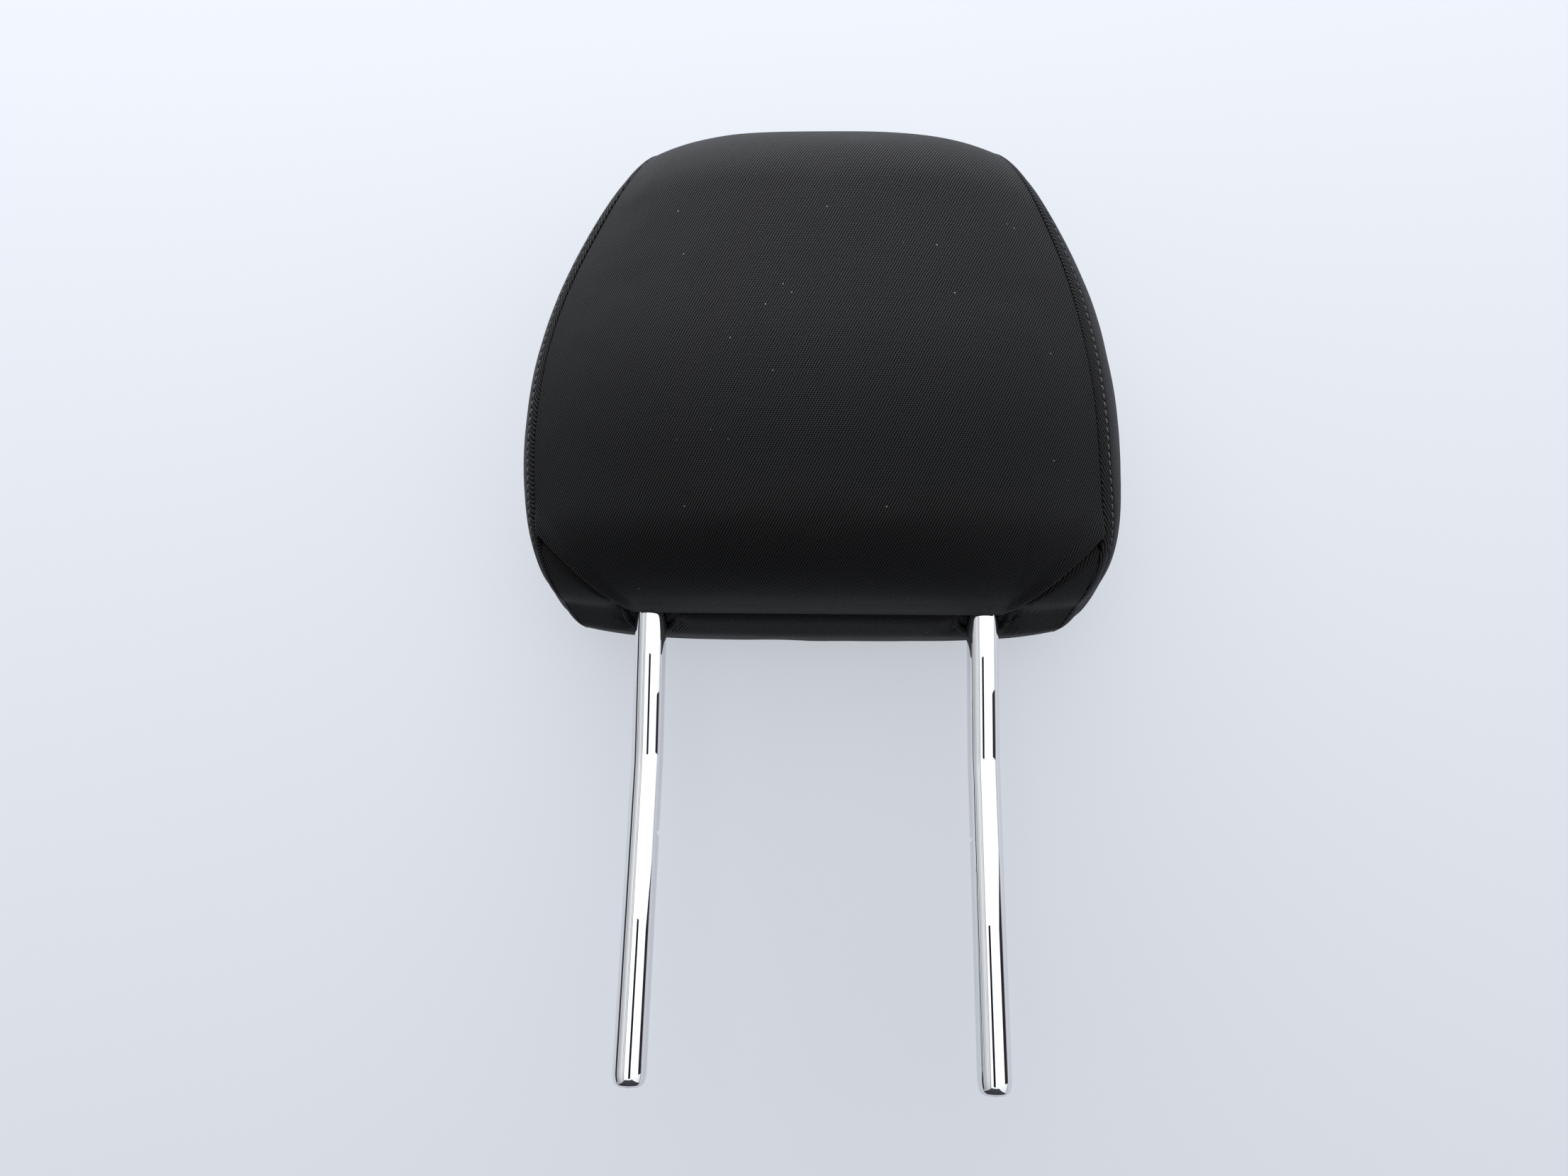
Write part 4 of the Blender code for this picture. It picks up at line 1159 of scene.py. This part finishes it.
class HEADREST_OT_sew_cover(bpy.types.Operator):
    """Sews the front, the back and the two side panels of the cover"""
    bl_idname = "headrest.sew_cover"
    bl_label = "Sew Cover"

    def execute(self, context):
        cover = context.scene.headrest_cover
        cloth = twill_cloth(cover)
        front = make_front_cover(cover)
        back = make_back_cover(cover)
        left = make_gusset(cover, -1, "left_gusset")
        right = make_gusset(cover, 1, "right_gusset")
        tree, shift = settled_shift(cover, context)
        for piece in (front, back, left, right):
            carry_along(piece, tree, shift)
        lips = [add_opening_lip(cover, back, side) for side in (-1, 1)]
        cut_openings(back)
        for piece in (front, back, left, right):
            face_outwards(piece, CUSHION_CENTRE)
            give_thickness(piece, cover.thickness)
        only(back, *lips)
        bpy.ops.object.join()
        replaced = {front: "front_panel", back: "back_panel",
                    left: "left_side_panel", right: "right_side_panel"}
        for piece, node in replaced.items():
            dress(piece, cloth, "charcoal_cloth", node)
        return {"FINISHED"}


class HEADREST_OT_topstitch(bpy.types.Operator):
    """Sews the row of topstitching beside each front seam"""
    bl_idname = "headrest.topstitch"
    bl_label = "Topstitch"

    def execute(self, context):
        cover = context.scene.headrest_cover
        thread = twisted_thread(cover.thread_colour)
        for side, label in ((-1, "left"), (1, "right")):
            piece = stitch_row(cover, side, f"{label}_stitching")
            dress(piece, thread, "charcoal_thread", f"{label}_topstitch")
        return {"FINISHED"}


def seam_directions(centre, share, side):
    """The place on a side's dome, and the ways along the seam, inwards and out of the cloth."""
    step, inner_step = 0.0005, 0.02
    span = np.array([centre - step, centre, centre + step])
    before, place, after = side_surface(span, np.full(3, share), side)
    inner = side_surface(np.array([centre]), np.array([share - inner_step]), side)[0]
    along = Vector(after - before).normalized()
    inwards = Vector(inner - place).normalized()
    normal = along.cross(inwards).normalized()
    if normal.x * side < 0:
        normal.negate()
    return place, np.array((along, inwards, normal))


def stitch_row(cover, side, name):
    """Each stitch is shaped from a sphere and laid along the seam, then the row is joined."""
    share = 1 - cover.stitch_offset / SIDE_HALF_DEPTH
    start, end = (distance_where(lambda at: seam(at)[0], level, 0.0, GIRTH / 2.5)
                  for level in STITCH_LEVELS)
    radius = cover.thread_width / 2
    thinning, rise, dip, bedding = 0.35, radius * 0.75, radius * 1.5, 0.0003
    stitches = []
    for number in range(int((end - start) / cover.stitch_pitch) + 1):
        place, directions = seam_directions(start + number * cover.stitch_pitch, share, side)
        bpy.ops.object.select_all(action="DESELECT")
        bpy.ops.mesh.primitive_uv_sphere_add(segments=8, ring_count=8, radius=1.0)
        stitch = bpy.context.object
        ball = points_of(stitch.data)
        width = np.maximum(np.hypot(ball[:, 0], ball[:, 1]), 1e-9)
        blunt = np.sqrt(np.minimum(width, 1.0)) / width
        thick = radius * (1 - thinning * ball[:, 2] ** 2) * blunt
        lift = rise - dip * ball[:, 2] ** 4 - bedding
        local = np.stack([ball[:, 2] * cover.stitch_length / 2, ball[:, 0] * thick,
                          ball[:, 1] * thick + lift], axis=-1)
        move_points(stitch.data, local @ directions + place)
        stitches.append(stitch)
    only(*stitches)
    bpy.ops.object.join()
    piece = named(name)
    clean_mesh(piece)
    bpy.ops.object.shade_smooth()
    return piece


class HEADREST_OT_mould_foam(bpy.types.Operator):
    """Moulds the foam pad that fills the cover"""
    bl_idname = "headrest.mould_foam"
    bl_label = "Mould Foam"

    def execute(self, context):
        pad = make_cushion_body("foam_core", around=120, rings=96, inset=FOAM_INSET, rim=0.0)
        for side in (-1, 1):
            bpy.ops.object.select_all(action="DESELECT")
            bpy.ops.mesh.primitive_cylinder_add(
                vertices=40, radius=POST_RADIUS + POCKET_PLAY, depth=POCKET_LENGTH,
                location=(side * POST_HALF_SPACING, HEM_Y + POCKET_LEVEL, POST_HEIGHT),
                rotation=(math.pi / 2, 0.0, 0.0))
            cutter = named("post_pocket")
            settle(cutter)
            cut_away(pad, cutter)
        only(pad)
        bpy.ops.object.shade_smooth_by_angle(angle=math.radians(40))
        foam = moulded_foam(context.scene.headrest_posts.foam_painted_shade_colour)
        dress(pad, foam, "moulded_foam", "foam_pad")
        return {"FINISHED"}


def post_route():
    """The posts' centre line from the left tip over the crossbar to the right tip."""
    tip_level = -POST_NECK - POST_LOWER * math.cos(POST_BEND)
    tip_height = POST_HEIGHT + POST_LOWER * math.sin(POST_BEND)
    left = [
        (Vector((-POST_HALF_SPACING, HEM_Y + tip_level, tip_height)), 0.0),
        (Vector((-POST_HALF_SPACING, HEM_Y - POST_NECK, POST_HEIGHT)), POST_BEND_RADIUS),
        (Vector((-POST_HALF_SPACING, HEM_Y + CROSSBAR_LEVEL, POST_HEIGHT)), CROSSBAR_RADIUS),
    ]
    right = [(Vector((-at.x, at.y, at.z)), radius) for at, radius in reversed(left)]
    return rounded_path(left + right, False, math.radians(1.5))


class HEADREST_OT_bend_posts(bpy.types.Operator):
    """Bends the post tube, swages its tips and cuts the two notches"""
    bl_idname = "headrest.bend_posts"
    bl_label = "Bend Posts"

    def execute(self, context):
        route = np.array([tuple(point) for point in post_route()])
        lengths = distances_along(route)
        total = lengths[-1]
        taper = TIP_TAPER * (1 - np.cos(np.linspace(0, math.pi / 2, 9)))
        extra = np.concatenate([taper, total - taper])
        straight = np.linspace(0, total, 120)
        stations = np.unique(np.round(np.concatenate([lengths, extra, straight]), 6))
        places = [[np.interp(station, lengths, route[:, axis]) for axis in range(3)]
                  for station in stations]
        tapering = np.minimum(np.minimum(stations, total - stations) / TIP_TAPER, 1.0)
        swage = np.sqrt(np.maximum(0.0, 1 - (1 - tapering) ** 2))
        radii = TIP_RADIUS + (POST_RADIUS - TIP_RADIUS) * swage
        piece = add_tube("posts", places, POST_RADIUS, resolution=30, capped=False,
                         swelling=radii / POST_RADIUS)
        for side in (-1, 1):
            close_tip(piece, side)
        clean_mesh(piece, merge=0.000001)
        for side, (distance, length, depth) in NOTCHES.items():
            cut_notch(piece, side, distance, length, depth)
        only(piece)
        bpy.ops.object.shade_smooth_by_angle(angle=math.radians(28))
        chrome = chrome_plate(context.scene.headrest_posts)
        dress(piece, chrome, "chrome_steel", "post_frame")
        return {"FINISHED"}


def close_tip(piece, side):
    """Turns a tip's open end in to its small hole and closes the hole's floor."""
    outward = Vector((0.0, -math.cos(POST_BEND), math.sin(POST_BEND)))
    only(piece)
    bpy.ops.object.mode_set(mode="EDIT")
    bpy.ops.mesh.select_all(action="DESELECT")
    work = bmesh.from_edit_mesh(piece.data)
    rim = [edge for edge in work.edges if edge.is_boundary and edge.verts[0].co.x * side > 0]
    for edge in rim:
        edge.select = True
    centre = sum((edge.verts[0].co for edge in rim), Vector()) / len(rim)
    bmesh.update_edit_mesh(piece.data)
    face = outward * TIP_FACE
    inner = TIP_RADIUS - TIP_WALL
    bpy.ops.mesh.extrude_region_move(TRANSFORM_OT_translate={"value": face})
    shrink = inner / TIP_RADIUS
    bpy.ops.transform.resize(value=(shrink,) * 3, center_override=centre + face)
    bpy.ops.mesh.extrude_region_move()
    shrink = TIP_HOLE_RADIUS / inner
    bpy.ops.transform.resize(value=(shrink,) * 3, center_override=centre + face)
    bpy.ops.mesh.extrude_region_move(TRANSFORM_OT_translate={"value": outward * -TIP_HOLE_DEPTH})
    bpy.ops.mesh.edge_face_add()
    bpy.ops.object.mode_set(mode="OBJECT")


def cut_notch(piece, side, distance, length, depth):
    """Cuts a small wedge into the inner face of one lower leg."""
    bend = Vector((side * POST_HALF_SPACING, HEM_Y - POST_NECK, POST_HEIGHT))
    along = Vector((0.0, -math.cos(POST_BEND), math.sin(POST_BEND)))
    over = Vector((0.0, math.sin(POST_BEND), math.cos(POST_BEND)))
    face = bend + along * distance - Vector((side * POST_RADIUS, 0.0, 0.0))
    bpy.ops.object.select_all(action="DESELECT")
    bpy.ops.mesh.primitive_cube_add(size=2.0)
    cutter = named("notch_cutter")
    top_slope, bottom_slope = 0.3, 1.1
    wedge = {
        (-1, -1): (-NOTCH_CLEARANCE, 0.0), (1, -1): (depth, 0.0),
        (1, 1): (depth, length * top_slope), (-1, 1): (-NOTCH_CLEARANCE, length * bottom_slope),
    }
    for vertex in cutter.data.vertices:
        inward, down = wedge[round(vertex.co.x), round(vertex.co.y)]
        height = over * (vertex.co.z * POST_RADIUS * 2)
        vertex.co = face + Vector((side * inward, 0.0, 0.0)) + along * down + height
    clean_mesh(cutter)
    cut_away(piece, cutter)


class HEADREST_OT_finish_inner_parts(bpy.types.Operator):
    """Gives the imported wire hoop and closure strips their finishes"""
    bl_idname = "headrest.finish_inner_parts"
    bl_label = "Finish Inner Parts"

    def execute(self, context):
        plastic = closure_plastic()
        finishes = {
            "support_wire": (drawn_wire_steel(), "drawn_wire"),
            "front_closure_strip": (plastic, "closure_plastic"),
            "back_closure_strip": (plastic, "closure_plastic"),
        }
        for node, (material, slot) in finishes.items():
            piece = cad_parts[node]
            piece.data.materials.clear()
            piece.data.materials.append(material)
        return {"FINISHED"}


# The dark things round the object, which only reflections and soft light see, as
# (place, size, turn about the X and Y axes, colour)
UPRIGHT = math.pi / 2
CARDS = {
    "camera_body": ((0.004, -0.16, 0.60), (0.135, 0.34), (0.0, 0.0), (0.003, 0.003, 0.004)),
    "dark_sleeve": ((0.80, -0.16, 0.27), (0.34, 0.30), (0.0, UPRIGHT), (0.010, 0.004, 0.008)),
    "dark_clothes": ((0.0, -0.62, 0.625), (1.1, 1.25), (UPRIGHT, 0.0), (0.01, 0.01, 0.012)),
    "dark_table": ((-1.44, 0.0, 0.0004), (2.0, 3.0), (0.0, 0.0), (0.004, 0.004, 0.004)),
    "left_skirting": ((-2.43, 0.0, 0.18), (0.36, 3.0), (0.0, UPRIGHT), (0.004, 0.004, 0.004)),
    "right_skirting": ((2.43, 0.0, 0.05), (0.10, 3.0), (0.0, UPRIGHT), (0.02, 0.02, 0.02)),
}

# The frames on the left wall, as their lean from overhead and their width, and how far off they are
WALL_FRAMES = [(-71.4, 0.075), (-42.4, 0.060), (-30.6, 0.070)]
WALL_REACH = 2.3
WALL_FRAME_LENGTH = 3.0
WALL_FRAME_COLOUR = (0.02, 0.02, 0.02)

# How light the room is, from overhead (0 degrees) to the left (negative) and the right, and its tint
ROOM_STOPS = [
    (-180, 0.78), (-90, 0.74), (-74, 0.60), (-58, 0.66), (-50, 0.86), (-45, 1.10),
    (-41, 0.86), (-34, 0.74), (-28, 1.05), (-22, 1.50), (62, 1.50), (78, 1.40),
    (85, 1.00), (90, 0.80), (180, 0.78),
]
ROOM_TINT = (0.965, 0.98, 1.0)

# The floor, the window and the camera, which was fitted to the photo
FLOOR_SIZE = 6.0
FLOOR_DROP = 0.0001
WINDOW_PLACE = (-0.30, 1.60, 0.45)
WINDOW_AIM = (0.0, 0.05, 0.05)
WINDOW_SIZE = (1.8, 0.6)
WINDOW_COLOUR = (0.95, 0.975, 1.0)
CAMERA_PLACE = (0.0055, -0.0661, 0.5423)
CAMERA_LOOK = (-0.0377, 0.1281, -0.9910)
CAMERA_RIGHT = (0.9993, 0.0126, -0.0364)
SENSOR_WIDTH = 36.0


def add_card(name, place, size, turn, colour):
    """A flat matt card that the camera doesn't see."""
    bpy.ops.object.select_all(action="DESELECT")
    bpy.ops.mesh.primitive_plane_add(size=1.0, location=place, rotation=(*turn, 0.0))
    card = named(name)
    card.scale = (*size, 1.0)
    settle(card)
    made = Shading(name)
    made.set(Base_Color=(*colour, 1.0), Roughness=0.9)
    card.data.materials.append(made.material)
    card.visible_camera = False


def light_room(stage):
    """A pale room: a bright ceiling and right side, and a greyer wall on the left."""
    world = bpy.data.worlds.new("pale_room")
    bpy.context.scene.world = world
    world.use_nodes = True
    made = Nodes(world.node_tree)
    direction = made.add("TexCoord").outputs["Generated"]
    split = made.add("SeparateXYZ", {"Vector": direction})
    angle = made.math("ARCTAN2", split.outputs["X"], split.outputs["Z"])
    turn = made.math("MULTIPLY_ADD", angle, 1 / math.tau, 0.5)
    ramp = made.add("ValToRGB", {"Fac": turn})
    elements = ramp.color_ramp.elements
    while len(elements) < len(ROOM_STOPS):
        elements.new(0.5)
    for element, (degrees, value) in zip(elements, ROOM_STOPS):
        element.position = (degrees + 180) / 360
        element.color = (*scaled(ROOM_TINT, value), 1.0)
    ahead = made.math("MULTIPLY_ADD", split.outputs["Y"], stage.room_slope, 1.0)
    right = made.math("MULTIPLY", split.outputs["X"], stage.right_slope)
    strength = made.math("MULTIPLY", made.math("ADD", ahead, right), stage.room_light)
    background = made.tree.nodes["Background"]
    made.tree.links.new(ramp.outputs["Color"], background.inputs["Color"])
    made.tree.links.new(strength, background.inputs["Strength"])


def hang_window(stage):
    """The large soft light beyond the crown."""
    bpy.ops.object.light_add(type="AREA", location=WINDOW_PLACE)
    window = bpy.context.object
    window.name = "window"
    light = window.data
    light.name = "window"
    light.shape = "RECTANGLE"
    light.size, light.size_y = WINDOW_SIZE
    light.energy = stage.window_power
    light.color = WINDOW_COLOUR
    aim = Vector(WINDOW_AIM) - window.location
    window.rotation_euler = aim.to_track_quat("-Z", "Y").to_euler()


def place_camera(stage, scene):
    """The camera over the object, at the photo's angle."""
    bpy.ops.object.camera_add(location=CAMERA_PLACE)
    camera = bpy.context.object
    camera.name = "camera"
    look = Vector(CAMERA_LOOK).normalized()
    right = Vector(CAMERA_RIGHT)
    right = (right - look * right.dot(look)).normalized()
    up = right.cross(look)
    turn = Matrix((right, up, -look)).transposed().to_4x4()
    camera.matrix_world = Matrix.Translation(camera.location) @ turn
    camera.data.lens = stage.focal_length
    camera.data.sensor_width = SENSOR_WIDTH
    camera.data.clip_start = 0.01
    scene.camera = camera


class HEADREST_OT_set_stage(bpy.types.Operator):
    """Lays the floor and sets the light and the camera"""
    bl_idname = "headrest.set_stage"
    bl_label = "Set Stage"

    def execute(self, context):
        stage = context.scene.headrest_stage
        bpy.ops.object.select_all(action="DESELECT")
        bpy.ops.mesh.primitive_plane_add(size=FLOOR_SIZE, location=(0.0, 0.0, -FLOOR_DROP))
        floor = named("floor")
        settle(floor)
        floor.data.materials.append(pale_floor(stage))
        light_room(stage)
        for name, card in CARDS.items():
            add_card(name, *card)
        for number, (degrees, width) in enumerate(WALL_FRAMES, start=1):
            lean = math.radians(degrees)
            place = (WALL_REACH * math.sin(lean), 0.0, WALL_REACH * math.cos(lean))
            add_card(f"wall_frame_{number}", place, (width, WALL_FRAME_LENGTH), (0.0, lean),
                     WALL_FRAME_COLOUR)
        hang_window(stage)
        place_camera(stage, context.scene)
        context.scene.view_settings.view_transform = "Standard"
        return {"FINISHED"}


class HEADREST_PT_workshop(bpy.types.Panel):
    """Lists the headrest's steps and settings"""
    bl_idname = "HEADREST_PT_workshop"
    bl_label = "Headrest"
    bl_space_type = "VIEW_3D"
    bl_region_type = "UI"
    bl_category = "Headrest"

    def draw(self, context):
        scene = context.scene
        column = self.layout.column()
        for step in STEPS:
            column.operator(step.bl_idname)
        for settings in (scene.headrest_cover, scene.headrest_posts, scene.headrest_stage):
            box = self.layout.box()
            for name in settings.__annotations__:
                box.prop(settings, name)


STEPS = (
    HEADREST_OT_bend_posts,
    HEADREST_OT_mould_foam,
    HEADREST_OT_sew_cover,
    HEADREST_OT_topstitch,
    HEADREST_OT_finish_inner_parts,
    HEADREST_OT_set_stage,
)
CLASSES = (
    HeadrestCoverSettings,
    HeadrestPostSettings,
    HeadrestStageSettings,
    *STEPS,
    HEADREST_PT_workshop,
)


def register():
    for made in CLASSES:
        bpy.utils.register_class(made)
    bpy.types.Scene.headrest_cover = bpy.props.PointerProperty(type=HeadrestCoverSettings)
    bpy.types.Scene.headrest_posts = bpy.props.PointerProperty(type=HeadrestPostSettings)
    bpy.types.Scene.headrest_stage = bpy.props.PointerProperty(type=HeadrestStageSettings)


def unregister():
    del bpy.types.Scene.headrest_stage
    del bpy.types.Scene.headrest_posts
    del bpy.types.Scene.headrest_cover
    for made in reversed(CLASSES):
        bpy.utils.unregister_class(made)


def main():
    register()
    bpy.ops.headrest.bend_posts()
    bpy.ops.headrest.mould_foam()
    bpy.ops.headrest.sew_cover()
    bpy.ops.headrest.topstitch()
    bpy.ops.headrest.finish_inner_parts()
    bpy.ops.headrest.set_stage()


if __name__ == "__main__":
    main()
